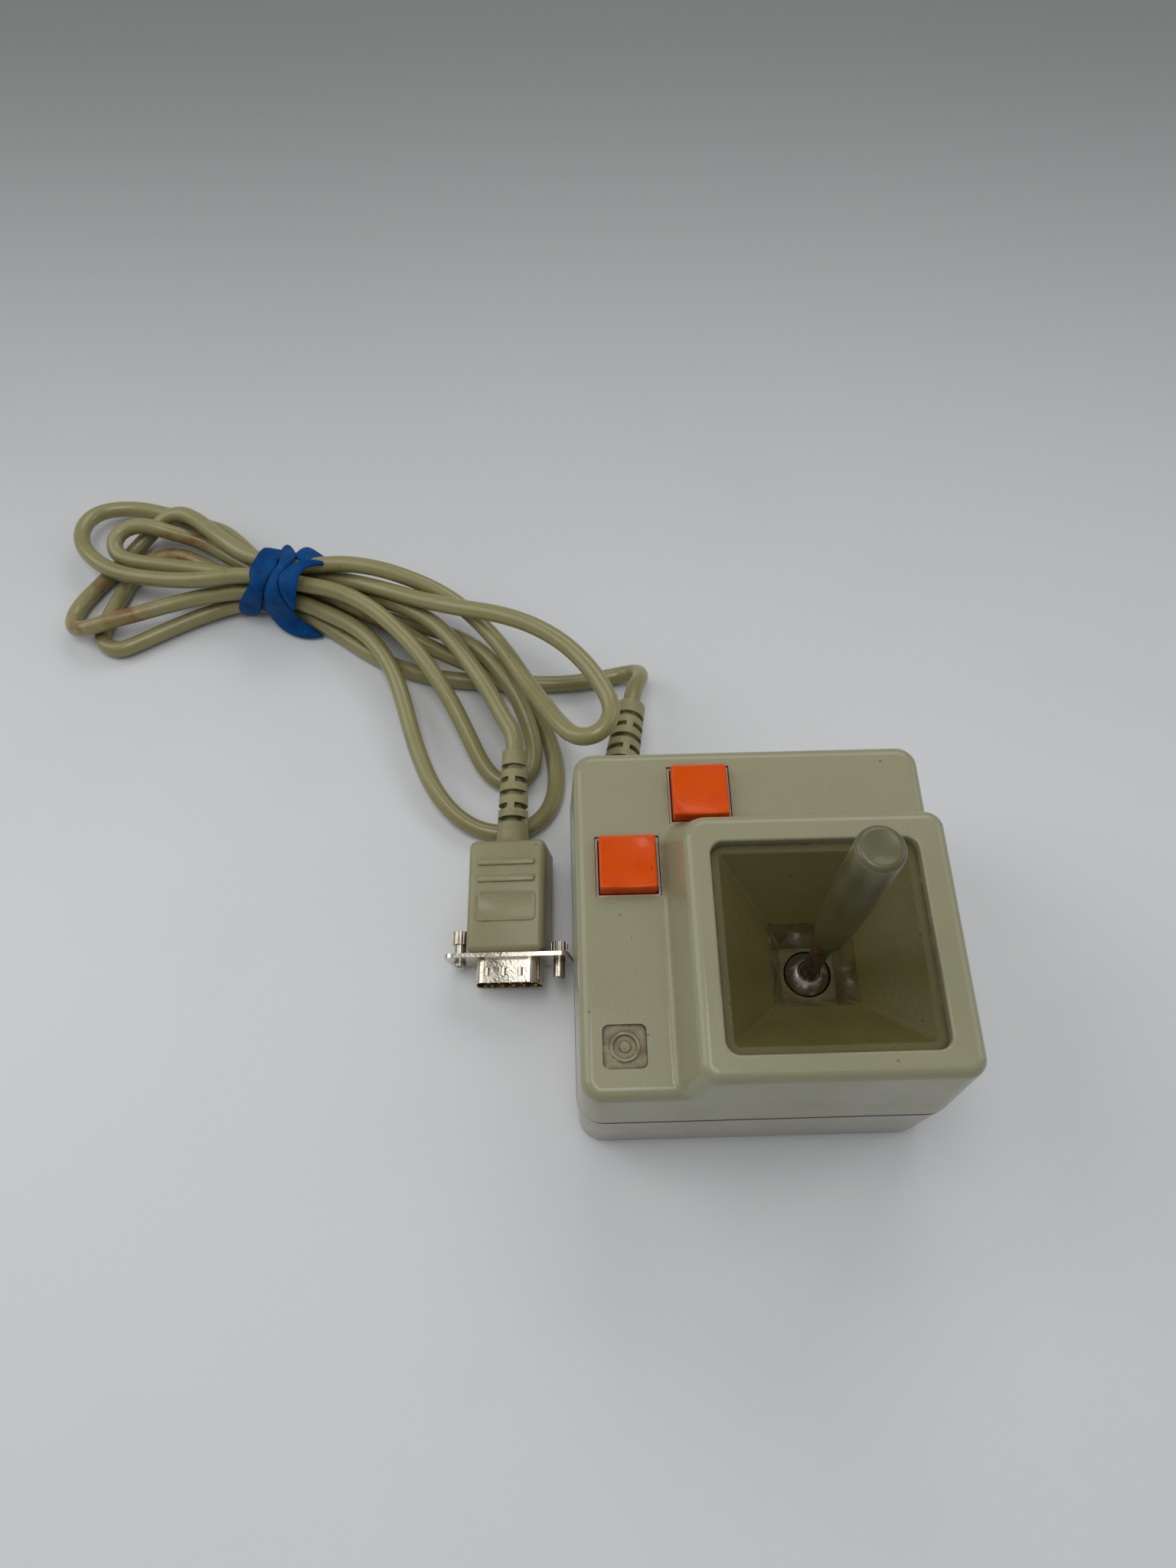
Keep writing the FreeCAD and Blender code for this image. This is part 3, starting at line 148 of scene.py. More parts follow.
def lay_cord():
    """The cord, as one smooth tube that keeps close to the route."""
    curve = bpy.data.curves.new("cord_run", "CURVE")
    curve.dimensions = "3D"
    curve.bevel_depth = CORD_RADIUS
    curve.bevel_resolution = 5
    curve.resolution_u = 8
    curve.use_fill_caps = True
    spline = curve.splines.new("NURBS")
    spline.points.add(len(CORD_ROUTE) - 1)
    for point, place in zip(spline.points, CORD_ROUTE):
        point.co = (*(Vector(place) * MM), 1)
    spline.order_u = 3
    spline.use_endpoint_u = True
    cord = bpy.data.objects.new("cord_run", curve)
    bpy.context.scene.collection.objects.link(cord)
    return cord


# ---------------------------------------------------------------- shader groups
class Nodes:
    """Short ways to add and join nodes in one tree, called n wherever one is in use."""

    def __init__(self, tree):
        self.tree = tree

    def add(self, kind, **settings):
        node = self.tree.nodes.new(kind)
        for name, value in settings.items():
            setattr(node, name, value)
        return node

    def give(self, socket, value):
        """Joins an input to another node's socket, or sets it to anything else."""
        if isinstance(value, bpy.types.NodeSocket):
            self.tree.links.new(value, socket)
        else:
            socket.default_value = value

    def set(self, node, **inputs):
        """Gives a node's inputs by name, with underscores for spaces."""
        for name, value in inputs.items():
            self.give(node.inputs[name.replace("_", " ")], value)

    def math(self, operation, first, second=0.0, clamp=False):
        node = self.add("ShaderNodeMath", operation=operation, use_clamp=clamp)
        self.give(node.inputs[0], first)
        self.give(node.inputs[1], second)
        return node.outputs[0]

    def range(self, value, low, high, to_low=0.0, to_high=1.0):
        node = self.add("ShaderNodeMapRange", interpolation_type="SMOOTHSTEP")
        self.set(node, Value=value, From_Min=low, From_Max=high, To_Min=to_low, To_Max=to_high)
        return node.outputs["Result"]

    def mix(self, factor, first, second):
        """A colour between two others. A mix node keeps its colour sockets after those for numbers."""
        node = self.add("ShaderNodeMix", data_type="RGBA")
        self.give(node.inputs[0], factor)
        self.give(node.inputs[6], first)
        self.give(node.inputs[7], second)
        return node.outputs[2]

    def noise(self, scale, detail=3.0, roughness=0.55, stretch=None):
        place = self.add("ShaderNodeTexCoord").outputs["Object"]
        if stretch:
            mapping = self.add("ShaderNodeMapping")
            self.set(mapping, Vector=place, Scale=stretch)
            place = mapping.outputs[0]
        node = self.add("ShaderNodeTexNoise")
        self.set(node, Vector=place, Scale=scale, Detail=detail, Roughness=roughness)
        return node.outputs["Fac"]

    def height(self, axis="Z"):
        split = self.add("ShaderNodeSeparateXYZ")
        self.set(split, Vector=self.add("ShaderNodeTexCoord").outputs["Object"])
        return split.outputs[axis]


def shader_group(name, inputs, outputs):
    """An empty group with (name, socket type, default) inputs and (name, type) outputs."""
    tree = bpy.data.node_groups.new(name, "ShaderNodeTree")
    for label, kind, value in inputs:
        socket = tree.interface.new_socket(label, in_out="INPUT", socket_type=kind)
        socket.default_value = value
    for label, kind in outputs:
        tree.interface.new_socket(label, in_out="OUTPUT", socket_type=kind)
    nodes = Nodes(tree)
    return tree, nodes, nodes.add("NodeGroupInput"), nodes.add("NodeGroupOutput")


FLOAT, COLOUR = "NodeSocketFloat", "NodeSocketColor"


def make_mottle():
    """Two colours mixed in soft clouds, with finer clouds inside them."""
    tree, n, given, out = shader_group(
        "mottle",
        [("Base", COLOUR, (0.5, 0.5, 0.5, 1)), ("Stain", COLOUR, (0.3, 0.3, 0.3, 1)),
         ("Scale", FLOAT, 30.0), ("Amount", FLOAT, 0.5)],
        [("Color", COLOUR)],
    )
    clouds = n.noise(given.outputs["Scale"], 5.0, 0.6)
    strength = n.math("MULTIPLY", n.range(clouds, 0.42, 0.72), given.outputs["Amount"])
    n.set(out, Color=n.mix(strength, given.outputs["Base"], given.outputs["Stain"]))
    return tree


def make_specks():
    """A mask of small scattered spots, each of its own size, and many left out."""
    tree, n, given, out = shader_group(
        "specks",
        [("Scale", FLOAT, 400.0), ("Size", FLOAT, 0.12), ("Share", FLOAT, 0.3)],
        [("Mask", FLOAT)],
    )
    place = n.add("ShaderNodeTexCoord").outputs["Object"]
    cells = n.add("ShaderNodeTexVoronoi")
    n.set(cells, Vector=place, Scale=given.outputs["Scale"])
    chance = n.add("ShaderNodeSeparateColor")
    n.set(chance, Color=cells.outputs["Color"])
    kept = n.math("LESS_THAN", chance.outputs["Red"], given.outputs["Share"])
    reach = n.math("MULTIPLY", chance.outputs["Green"], given.outputs["Size"])
    spot = n.math("LESS_THAN", cells.outputs["Distance"], reach)
    n.set(out, Mask=n.math("MULTIPLY", kept, spot))
    return tree


def make_grain():
    """Height of a moulded surface: fine orange peel with sparse hairline scratches."""
    tree, n, given, out = shader_group(
        "moulded grain",
        [("Scale", FLOAT, 900.0), ("Scratches", FLOAT, 0.3)],
        [("Height", FLOAT)],
    )
    peel = n.noise(given.outputs["Scale"], 2.0, 0.5)
    lines = n.noise(120.0, 2.0, 0.5, stretch=(1.0, 14.0, 1.0))
    scratch = n.math("MULTIPLY", n.range(lines, 0.66, 0.70), given.outputs["Scratches"])
    n.set(out, Height=n.math("SUBTRACT", peel, scratch))
    return tree


def make_uneven_gloss():
    """A roughness that wanders between two values, as handled plastic and metal does."""
    tree, n, given, out = shader_group(
        "uneven gloss",
        [("Low", FLOAT, 0.3), ("High", FLOAT, 0.5), ("Scale", FLOAT, 60.0)],
        [("Value", FLOAT)],
    )
    cloud = n.range(n.noise(given.outputs["Scale"], 4.0, 0.6), 0.3, 0.7)
    spread = n.math("SUBTRACT", given.outputs["High"], given.outputs["Low"])
    n.set(out, Value=n.math("ADD", n.math("MULTIPLY", cloud, spread), given.outputs["Low"]))
    return tree


GROUPS = {
    "mottle": make_mottle(),
    "specks": make_specks(),
    "grain": make_grain(),
    "gloss": make_uneven_gloss(),
}


def effect(n, name, **inputs):
    """Places one of the shared groups and returns its only output."""
    node = n.add("ShaderNodeGroup", node_tree=GROUPS[name])
    n.set(node, **inputs)
    return node.outputs[0]


# ---------------------------------------------------------------- finishes
def new_finish(name):
    """An empty material, its Nodes and its shader."""
    material = bpy.data.materials.new(name)
    material.use_nodes = True
    material.node_tree.nodes.clear()
    n = Nodes(material.node_tree)
    shader = n.add("ShaderNodeBsdfPrincipled")
    out = n.add("ShaderNodeOutputMaterial")
    n.set(out, Surface=shader.outputs[0])
    return material, n, shader


def corner_grime_and_shade(n, colour, dirt_and_shade, amount, distance=0.0025):
    """A colour darkened where surfaces meet closely, with grime and painted shade."""
    corner = n.add("ShaderNodeAmbientOcclusion", samples=6)
    n.set(corner, Distance=distance)
    close = n.math("SUBTRACT", 1.0, corner.outputs["AO"])
    uneven = n.range(n.noise(350.0, 4.0, 0.6), 0.3, 0.6)
    strength = n.math("MULTIPLY", n.math("MULTIPLY", close, uneven), amount, clamp=True)
    return n.mix(strength, colour, dirt_and_shade)


def bumped(n, shader, height, depth):
    """Roughens a surface by a height of 0 to 1 that stands for that depth."""
    bump = n.add("ShaderNodeBump")
    n.set(bump, Height=height, Distance=depth, Strength=1.0)
    n.set(shader, Normal=bump.outputs[0])


def polished(shader, weight, roughness):
    """A thin crisper shine over the surface."""
    shader.inputs["Coat Weight"].default_value = weight
    shader.inputs["Coat Roughness"].default_value = roughness


def darker(colour, share):
    """A colour with that share of its light."""
    return (*(share * part for part in colour[:3]), 1.0)


def seam_grime(n, colour, seam):
    """A colour that darkens with grime between the seam's clean height and its grimy one."""
    clean, grimy = seam
    if clean < grimy:
        grime = n.range(n.height(), clean, grimy, 0.0, 0.9)
    else:
        grime = n.range(n.height(), grimy, clean, 0.9, 0.0)
    return n.mix(grime, colour, tone(62, 54, 38))


def plastic(name, base, stain, gloss=(0.35, 0.5), mottle=(35.0, 0.5), grain_depth=0.00006,
            grain_scale=1300.0, dirt_and_shade=0.8, specks=0.25, specular=0.5, seam=None, sheen=None):
    """Moulded plastic: clouded colour, corners darkened with grime and painted shade, a few dark specks,
    orange peel and uneven gloss.

    A gloss is the (lowest, highest) roughness, a mottle the (scale, amount) of the stain's clouds, and a
    sheen the (weight, roughness) of the crisper shine that handling gives."""
    material, n, shader = new_finish(name)
    colour = effect(n, "mottle", Base=base, Stain=stain, Scale=mottle[0], Amount=mottle[1])
    # This darker colour is used for the corners' grime and painted shade, and for the specks.
    shade = darker(stain, 0.35)
    colour = corner_grime_and_shade(n, colour, shade, dirt_and_shade)
    if seam:
        colour = seam_grime(n, colour, seam)
    spots = effect(n, "specks", Scale=420.0, Size=0.16, Share=specks)
    colour = n.mix(n.math("MULTIPLY", spots, 0.55), colour, shade)
    rough = effect(n, "gloss", Low=gloss[0], High=gloss[1], Scale=70.0)
    n.set(shader, Base_Color=colour, Roughness=rough)
    shader.inputs["Specular IOR Level"].default_value = specular
    if sheen:
        polished(shader, *sheen)
    bumped(n, shader, effect(n, "grain", Scale=grain_scale, Scratches=0.25), grain_depth)
    return material


def metal(name, base, tarnish, gloss=(0.12, 0.3)):
    """Bare or plated metal with clouds of tarnish, its corners darkened with grime and painted shade."""
    material, n, shader = new_finish(name)
    colour = effect(n, "mottle", Base=base, Stain=tarnish, Scale=140.0, Amount=0.6)
    # Corners darkened with grime and painted shade.
    colour = corner_grime_and_shade(n, colour, darker(tarnish, 0.3), 0.6, 0.0012)
    rough = effect(n, "gloss", Low=gloss[0], High=gloss[1], Scale=160.0)
    n.set(shader, Base_Color=colour, Roughness=rough)
    shader.inputs["Metallic"].default_value = 1.0
    bumped(n, shader, effect(n, "grain", Scale=1500.0, Scratches=0.6), 0.00002)
    return material


def well_finish():
    """Olive well: satin slopes above, a wet-looking gloss and rusty clouds in the small pit below."""
    slope_rough, pit_rough = 0.36, 0.10
    material, n, shader = new_finish("well olive")
    slopes = effect(n, "mottle", Base=tone(98, 91, 50), Stain=tone(80, 73, 38), Scale=45.0, Amount=0.6)
    pit = effect(n, "mottle", Base=tone(104, 98, 62), Stain=tone(84, 64, 34), Scale=260.0, Amount=0.7)
    in_pit = n.range(n.height(), *WELL_PIT)
    ledge = n.range(n.height(), *WELL_LEDGE)
    colour = n.mix(in_pit, slopes, pit)
    colour = n.mix(ledge, colour, tone(102, 96, 60))
    # The pit's and ledge's corners darkened with grime and painted shade.
    colour = corner_grime_and_shade(n, colour, tone(38, 26, 12), 1.0, 0.0012)
    spots = effect(n, "specks", Scale=520.0, Size=0.2, Share=0.3)
    colour = n.mix(n.math("MULTIPLY", spots, 0.5), colour, tone(70, 52, 28))
    rough = n.math("ADD", n.math("MULTIPLY", in_pit, pit_rough - slope_rough), slope_rough)
    wander = effect(n, "gloss", Low=0.8, High=1.3, Scale=90.0)
    n.set(shader, Base_Color=colour, Roughness=n.math("MULTIPLY", wander, rough))
    shader.inputs["Specular IOR Level"].default_value = 0.35
    bumped(n, shader, effect(n, "grain", Scale=1100.0, Scratches=0.3), 0.00005)
    return material


def rusty_rod():
    """Plain steel rod, brown with rust in bands and grease, bare where it is handled least."""
    material, n, shader = new_finish("rusty rod")
    rust = n.range(n.noise(520.0, 6.0, 0.65, stretch=(1.0, 1.0, 0.45)), 0.36, 0.58)
    steel = effect(n, "mottle", Base=tone(136, 122, 96), Stain=tone(88, 72, 50), Scale=400.0, Amount=0.8)
    brown = effect(n, "mottle", Base=tone(84, 55, 30), Stain=tone(46, 29, 15), Scale=700.0, Amount=0.9)
    bare = n.math("SUBTRACT", 0.95, rust, clamp=True)
    rough = n.range(rust, 0.0, 1.0, 0.25, 0.7)
    n.set(shader, Base_Color=n.mix(rust, steel, brown), Metallic=bare, Roughness=rough)
    bumped(n, shader, n.noise(1600.0, 5.0, 0.6), 0.00012)
    return material


def grip_finish():
    """Smooth grey-olive handle, slightly see-through: its top painted lighter as lit and its lower part
    painted darker as shade.
    """
    material, n, shader = new_finish("grip olive")
    shaded_shank = effect(n, "mottle", Base=tone(82, 77, 44), Stain=tone(66, 60, 33), Scale=60.0, Amount=0.6)
    head = effect(n, "mottle", Base=tone(102, 100, 68), Stain=tone(86, 83, 53), Scale=90.0, Amount=0.5)
    # Painted light and shade: lighter towards the top, darker lower down.
    colour = n.mix(n.range(n.height(), *GRIP_LIT_TOP), shaded_shank, head)
    # Corners darkened with grime and painted shade.
    colour = corner_grime_and_shade(n, colour, tone(58, 50, 28), 0.8, 0.0015)
    rough = effect(n, "gloss", Low=0.3, High=0.42, Scale=110.0)
    n.set(shader, Base_Color=colour, Roughness=rough, Subsurface_Weight=0.12)
    shader.inputs["Subsurface Radius"].default_value = (0.002, 0.0015, 0.0008)
    polished(shader, 0.3, 0.14)
    bumped(n, shader, effect(n, "grain", Scale=900.0, Scratches=0.4), 0.00005)
    return material


STAINS = (  # where the cord is marked, in millimetres, and how far each mark reaches
    ((-181.0, 105.8, 6.6), 7.0), ((-167.0, 109.0, 8.0), 8.0), ((-174.0, 107.0, 8.2), 4.0),
    ((-160.0, 134.0, 4.0), 11.0), ((-96.0, 106.0, 8.0), 7.0), ((-181.0, 122.0, 3.0), 6.0),
    ((-60.0, 96.0, 5.0), 6.0), ((-152.0, 139.0, 5.0), 7.0),
)


def cord_finish():
    """Soft aged cord jacket: dull sheen, grime and painted shade where strands lie close, and rusty marks
    at a few places.
    """
    material, n, shader = new_finish("cord jacket")
    colour = effect(n, "mottle", Base=tone(149, 142, 93), Stain=tone(129, 120, 72), Scale=38.0, Amount=0.6)
    place = n.add("ShaderNodeTexCoord").outputs["Object"]
    uneven = n.range(n.noise(210.0, 5.0, 0.65), 0.36, 0.62)
    for spot, reach in STAINS:
        away = n.add("ShaderNodeVectorMath", operation="DISTANCE")
        n.tree.links.new(place, away.inputs[0])
        away.inputs[1].default_value = Vector(spot) * MM
        near = n.range(away.outputs["Value"], reach * MM, 0.25 * reach * MM)
        strength = n.math("MULTIPLY", n.math("MULTIPLY", near, uneven), 0.9)
        colour = n.mix(strength, colour, tone(132, 84, 28))
    # Grime and painted shade where strands lie close.
    colour = corner_grime_and_shade(n, colour, tone(70, 60, 34), 0.5, 0.003)
    spots = effect(n, "specks", Scale=330.0, Size=0.14, Share=0.3)
    colour = n.mix(n.math("MULTIPLY", spots, 0.5), colour, tone(84, 66, 36))
    n.set(shader, Base_Color=colour, Roughness=effect(n, "gloss", Low=0.28, High=0.44, Scale=55.0))
    polished(shader, 0.35, 0.16)
    bumped(n, shader, n.noise(700.0, 3.0, 0.5), 0.00006)
    return material


def band_finish():
    """Thick blue rubber band: powdery where it is stretched, with painted shade darkening its creases."""
    material, n, shader = new_finish("band blue")
    colour = effect(n, "mottle", Base=tone(0, 72, 132), Stain=tone(0, 46, 98), Scale=190.0, Amount=0.7)
    # Painted shade in the creases and where the band meets the cord.
    colour = corner_grime_and_shade(n, colour, tone(0, 8, 34), 1.7, 0.0025)
    bloom = n.range(n.noise(480.0, 4.0, 0.6, stretch=(1.0, 0.3, 1.0)), 0.58, 0.78, 0.0, 0.18)
    n.set(shader, Base_Color=n.mix(bloom, colour, tone(86, 140, 188)),
          Roughness=effect(n, "gloss", Low=0.5, High=0.68, Scale=150.0))
    shader.inputs["Specular IOR Level"].default_value = 0.12
    bumped(n, shader, n.noise(520.0, 4.0, 0.6, stretch=(1.0, 0.25, 1.0)), 0.00015)
    return material


# The corner amounts below set how strongly each finish's corners are darkened with grime and painted shade.
FINISHES = {
    "upper_case": plastic("upper case beige", tone(158, 155, 123), tone(149, 144, 109), gloss=(0.3, 0.42),
                          mottle=(22.0, 0.7), specks=0.12, specular=0.35, seam=UPPER_SEAM,
                          sheen=(0.45, 0.07)),
    "lower_case": plastic("lower case grey", tone(166, 157, 138), tone(170, 160, 140), gloss=(0.34, 0.46),
                          specular=0.35, seam=LOWER_SEAM, sheen=(0.4, 0.1)),
    "well": well_finish(),
    "ball": metal("satin ball", tone(214, 212, 206), tone(168, 160, 146), gloss=(0.2, 0.34)),
    "rod": rusty_rod(),
    "grip": grip_finish(),
    "orange": plastic("button orange", tone(232, 84, 0), tone(214, 68, 0), gloss=(0.24, 0.36),
                      mottle=(120.0, 0.6), specks=0.2, dirt_and_shade=0.35, specular=0.12, sheen=(0.3, 0.1)),
    "sleeve": plastic("switch sleeve", tone(198, 180, 162), tone(172, 150, 130), specks=0.3, dirt_and_shade=0.3),
    "badge": plastic("badge beige", tone(150, 144, 108), tone(112, 88, 50), mottle=(300.0, 0.75), dirt_and_shade=3.2,
                     gloss=(0.3, 0.5)),
    "cord": cord_finish(),
    "relief": plastic("relief beige", tone(153, 146, 104), tone(126, 116, 74), mottle=(90.0, 0.6), dirt_and_shade=1.4,
                      gloss=(0.38, 0.52)),
    "hood": plastic("hood beige", tone(150, 144, 106), tone(135, 127, 88), mottle=(60.0, 0.5), dirt_and_shade=1.2,
                    gloss=(0.34, 0.46), grain_scale=1500.0, grain_depth=0.00008, sheen=(0.2, 0.18)),
    "nickel": metal("nickel plate", tone(216, 208, 192), tone(150, 134, 108), gloss=(0.08, 0.22)),
    "black": plastic("black insulator", tone(34, 33, 32), tone(22, 21, 20), gloss=(0.35, 0.5)),
    "gold": metal("gold contact", tone(224, 184, 104), tone(170, 126, 66)),
    "screw": metal("zinc screw", tone(196, 190, 176), tone(118, 98, 72), gloss=(0.16, 0.34)),
    "foot": plastic("foot rubber", tone(40, 38, 36), tone(62, 58, 54), gloss=(0.6, 0.8),
                    mottle=(200.0, 0.7)),
    "nylon": plastic("black nylon", tone(42, 41, 40), tone(60, 58, 54), gloss=(0.4, 0.6)),
    "spring": metal("spring steel", tone(190, 188, 184), tone(134, 122, 106)),
    "board": plastic("board green", tone(46, 92, 48), tone(34, 70, 38), gloss=(0.25, 0.4),
                     mottle=(160.0, 0.6)),
    "wire": plastic("wire grey", tone(140, 140, 138), tone(110, 108, 104), gloss=(0.4, 0.55)),
    "band": band_finish(),
}
COATS = {
    "upper_case": ("upper_case",),
    "lower_case": ("lower_case",),
    "well": ("stick_well",),
    "ball": ("ball_cap",),
    "rod": ("stick_shaft", "stick_collar"),
    "grip": ("stick_grip",),
    "orange": ("button_left_cap", "button_back_cap"),
    "sleeve": ("switch_left_sleeve", "switch_back_sleeve"),
    "badge": ("emblem_badge",),
    "cord": ("cord",),
    "relief": ("cord_gland", "plug_boot"),
    "hood": ("plug_hood",),
    "nickel": ("plug_flange", "plug_shell", "position_sensor_x", "position_sensor_y"),
    "black": ("plug_insulator", "board_header", "board_capacitor"),
    "gold": ("plug_pins", "sensor_rotor_x", "sensor_rotor_y", "switch_left_contacts",
             "switch_back_contacts"),
    "screw": ("case_screws", "frame_screws", "board_screws", "jackscrew_left", "jackscrew_right"),
    "foot": ("rubber_feet",),
    "nylon": ("cross_bail", "carrier_bail", "gimbal_frame"),
    "spring": ("centring_spring_x", "centring_spring_y", "switch_left_spring", "switch_back_spring"),
    "board": ("circuit_board",),
    "wire": ("wires_to_board", "wires_to_sensors"),
    "band": ("cord_band",),
}
for finish, names in COATS.items():
    for name in names:
        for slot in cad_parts[name].material_slots:
            slot.material = FINISHES[finish]


# ---------------------------------------------------------------- pieces
def piece(name, bm, finish, body, replaces=(), smooth=40):
    """Turns a bmesh into an object at the origin that rides on a body."""
    bmesh.ops.recalc_face_normals(bm, faces=bm.faces)
    mesh = bpy.data.meshes.new(name)
    bm.to_mesh(mesh)
    bm.free()
    mesh.materials.append(FINISHES[finish])
    mesh.shade_smooth()
    mesh.set_sharp_from_angle(angle=math.radians(smooth))
    obj = bpy.data.objects.new(name, mesh)
    bpy.context.scene.collection.objects.link(obj)
    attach(obj, body)
    if replaces:
        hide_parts(*replaces)
    return obj


def rounded(bm, edges, radius, segments):
    """Rounds those edges and returns what the bevel made."""
    return bmesh.ops.bevel(bm, geom=list(edges), offset=radius, affect="EDGES", segments=segments,
                           profile=0.5, material=-1)


def soft_block(bm, size, centre, radius, segments):
    """Adds a block of that size and centre in millimetres, all its edges rounded."""
    made = bmesh.ops.create_cube(bm, size=1)["verts"]
    bmesh.ops.scale(bm, vec=Vector(size) * MM, verts=made)
    edges = {e for v in made for e in v.link_edges}
    bmesh.ops.translate(bm, vec=Vector(centre) * MM, verts=made)
    rounded(bm, edges, radius * MM, segments)


def at_corner(vert, half):
    """Whether a point is above or below a corner of a square about the origin."""
    return all(abs(abs(reach) - half) < 0.001 * MM for reach in vert.co.xy)


def button_cap(side):
    """A square cap with softly rounded edges and a shallow dish."""
    low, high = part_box(f"button_{side}_cap")
    centre = (low + high) / 2
    half = (high.x - low.x) / 2
    bm = bmesh.new()
    bmesh.ops.create_grid(bm, x_segments=16, y_segments=16, size=half)
    rim = [e for e in bm.edges if e.is_boundary]
    walls = bmesh.ops.extrude_edge_only(bm, edges=rim)["geom"]
    lower = [g for g in walls if isinstance(g, bmesh.types.BMVert)]
    bmesh.ops.translate(bm, vec=(0, 0, -CAP_WALL), verts=lower)
    corners = [e for e in bm.edges if all(at_corner(v, half) for v in e.verts)]
    rounded(bm, rim + corners, CAP_ROUND, 4)
    dish_reach = 1.12 * half
    for vert in bm.verts:
        if vert.co.z > -1 * MM:
            nearness = max(0.0, 1 - (vert.co.xy.length / dish_reach) ** 2)
            vert.co.z -= CAP_DISH * nearness
    bmesh.ops.translate(bm, vec=(centre.x, centre.y, high.z), verts=bm.verts)
    piece(f"cap_{side}", bm, "orange", f"button_{side}", [f"button_{side}_cap"])


# Where the plug lies, tilted on the corner of its flange.
PLUG = (
    Matrix.Translation(Vector((-57.0, 1.9, 8.2)) * MM)
    @ Matrix.Rotation(math.radians(-1.6), 4, "Z")
    @ Matrix.Rotation(math.radians(6.5), 4, "X")
    @ Matrix.Rotation(math.radians(-7.0), 4, "Y")
)


def raised_frame(bm, width, depth, at, corner=1.3, rim=0.6, rise=0.35):
    """Adds a thin raised outline with rounded corners and a blank middle, in millimetres."""
    made = bmesh.ops.create_cube(bm, size=1)["verts"]
    bmesh.ops.scale(bm, vec=Vector((width, depth, 1)) * MM, verts=made)
    bmesh.ops.translate(bm, vec=Vector(at) * MM, verts=made)
    edges = {e for v in made for e in v.link_edges}
    upright = [e for e in edges if abs(e.verts[0].co.z - e.verts[1].co.z) > 0.5 * MM]
    around = {f for v in rounded(bm, upright, corner * MM, 5)["verts"] for f in v.link_faces}
    top = max(around, key=lambda f: f.calc_center_median().z)
    inner = bmesh.ops.inset_individual(bm, faces=[top], thickness=rim * MM)["faces"]
    outline = list(top.edges)
    bmesh.ops.translate(bm, vec=(0, 0, -rise * MM), verts=top.verts)
    rim_faces = [f for f in inner if f is not top]
    free = {e for f in rim_faces for e in f.edges if e not in outline}
    crest = {e for e in free if all(v not in top.verts for v in e.verts)}
    rounded(bm, crest, 0.15 * MM, 2)


def plug_grip():
    """The moulded hood: rounded ends, two raised bars and a blank raised frame on its top."""
    bm = bmesh.new()
    soft_block(bm, (19.3, 28.4, 15), (0, 15.2, 0), 1.7, 5)
    for place in (23.5, 19.2):
        soft_block(bm, (14.4, 1.7, 0.9), (0, place, 7.5), 0.42, 3)
    raised_frame(bm, 14.9, 7.3, (0, 12.2, 7.4))
    bmesh.ops.transform(bm, matrix=PLUG, verts=bm.verts)
    return piece("plug_grip", bm, "hood", "base", ["plug_hood"])


# Each ribbon is a list of places across it, (one edge, other edge) in millimetres, in order along it.
RIBBONS = {
    "band_left": [
        ((-128.6, 126.5, 13.5), (-125.4, 126.2, 13.5)), ((-127.6, 121.0, 17.0), (-123.1, 121.4, 17.5)),
        ((-128.2, 115.5, 18.8), (-123.0, 116.4, 19.2)), ((-130.8, 111.3, 18.0), (-125.0, 112.6, 18.6)),
        ((-134.6, 110.6, 13.0), (-127.2, 110.3, 15.0)), ((-137.5, 112.6, 5.5), (-130.0, 111.0, 7.0)),
        ((-137.6, 113.4, 2.2), (-131.6, 112.2, 2.2)),
    ],
    "band_middle": [
        ((-123.6, 130.7, 11.5), (-122.7, 130.7, 11.5)), ((-124.8, 126.9, 13.5), (-120.1, 127.0, 13.5)),
        ((-122.7, 120.9, 18.0), (-117.8, 120.7, 18.0)),
        ((-122.5, 117.4, 19.6), (-119.6, 116.4, 19.8)), ((-124.5, 114.1, 19.4), (-122.2, 113.2, 19.4)),
        ((-126.3, 110.8, 17.8), (-121.8, 108.5, 18.2)), ((-128.1, 110.0, 12.5), (-120.7, 107.8, 13.8)),
        ((-128.3, 110.0, 7.0), (-119.5, 108.1, 9.8)), ((-127.1, 109.0, 3.6), (-119.0, 107.7, 8.0)),
        ((-124.3, 106.7, 1.3), (-117.5, 107.4, 5.6)), ((-119.6, 104.6, 0.9), (-115.6, 106.8, 3.6)),
        ((-115.6, 104.5, 0.9), (-114.0, 106.1, 1.8)), ((-112.6, 105.1, 0.9), (-112.4, 105.4, 1.0)),
    ],
    "band_right": [
        ((-109.2, 120.8, 15.0), (-108.8, 120.2, 15.0)), ((-112.6, 119.7, 18.3), (-112.4, 117.3, 18.5)),
        ((-115.3, 118.6, 19.8), (-114.6, 115.7, 19.6)), ((-118.2, 117.0, 20.5), (-115.8, 113.4, 20.0)),
        ((-120.7, 114.5, 20.7), (-116.3, 111.0, 20.0)), ((-122.2, 112.3, 20.3), (-116.7, 109.3, 18.8)),
        ((-121.7, 108.4, 18.8), (-117.2, 107.7, 17.0)), ((-120.3, 107.3, 15.0), (-117.8, 107.0, 14.4)),
        ((-119.4, 107.2, 11.5), (-118.7, 107.4, 11.3)),
    ],
    "band_flap": [
        ((-119.4, 122.3, 16.5), (-118.9, 125.2, 14.5)), ((-117.2, 119.9, 17.6), (-117.3, 129.9, 12.5)),
        ((-113.8, 119.8, 17.0), (-113.7, 126.7, 13.0)), ((-110.8, 120.5, 14.6), (-110.9, 124.4, 12.6)),
        ((-108.5, 121.4, 12.8), (-108.4, 122.1, 12.4)),
    ],
}


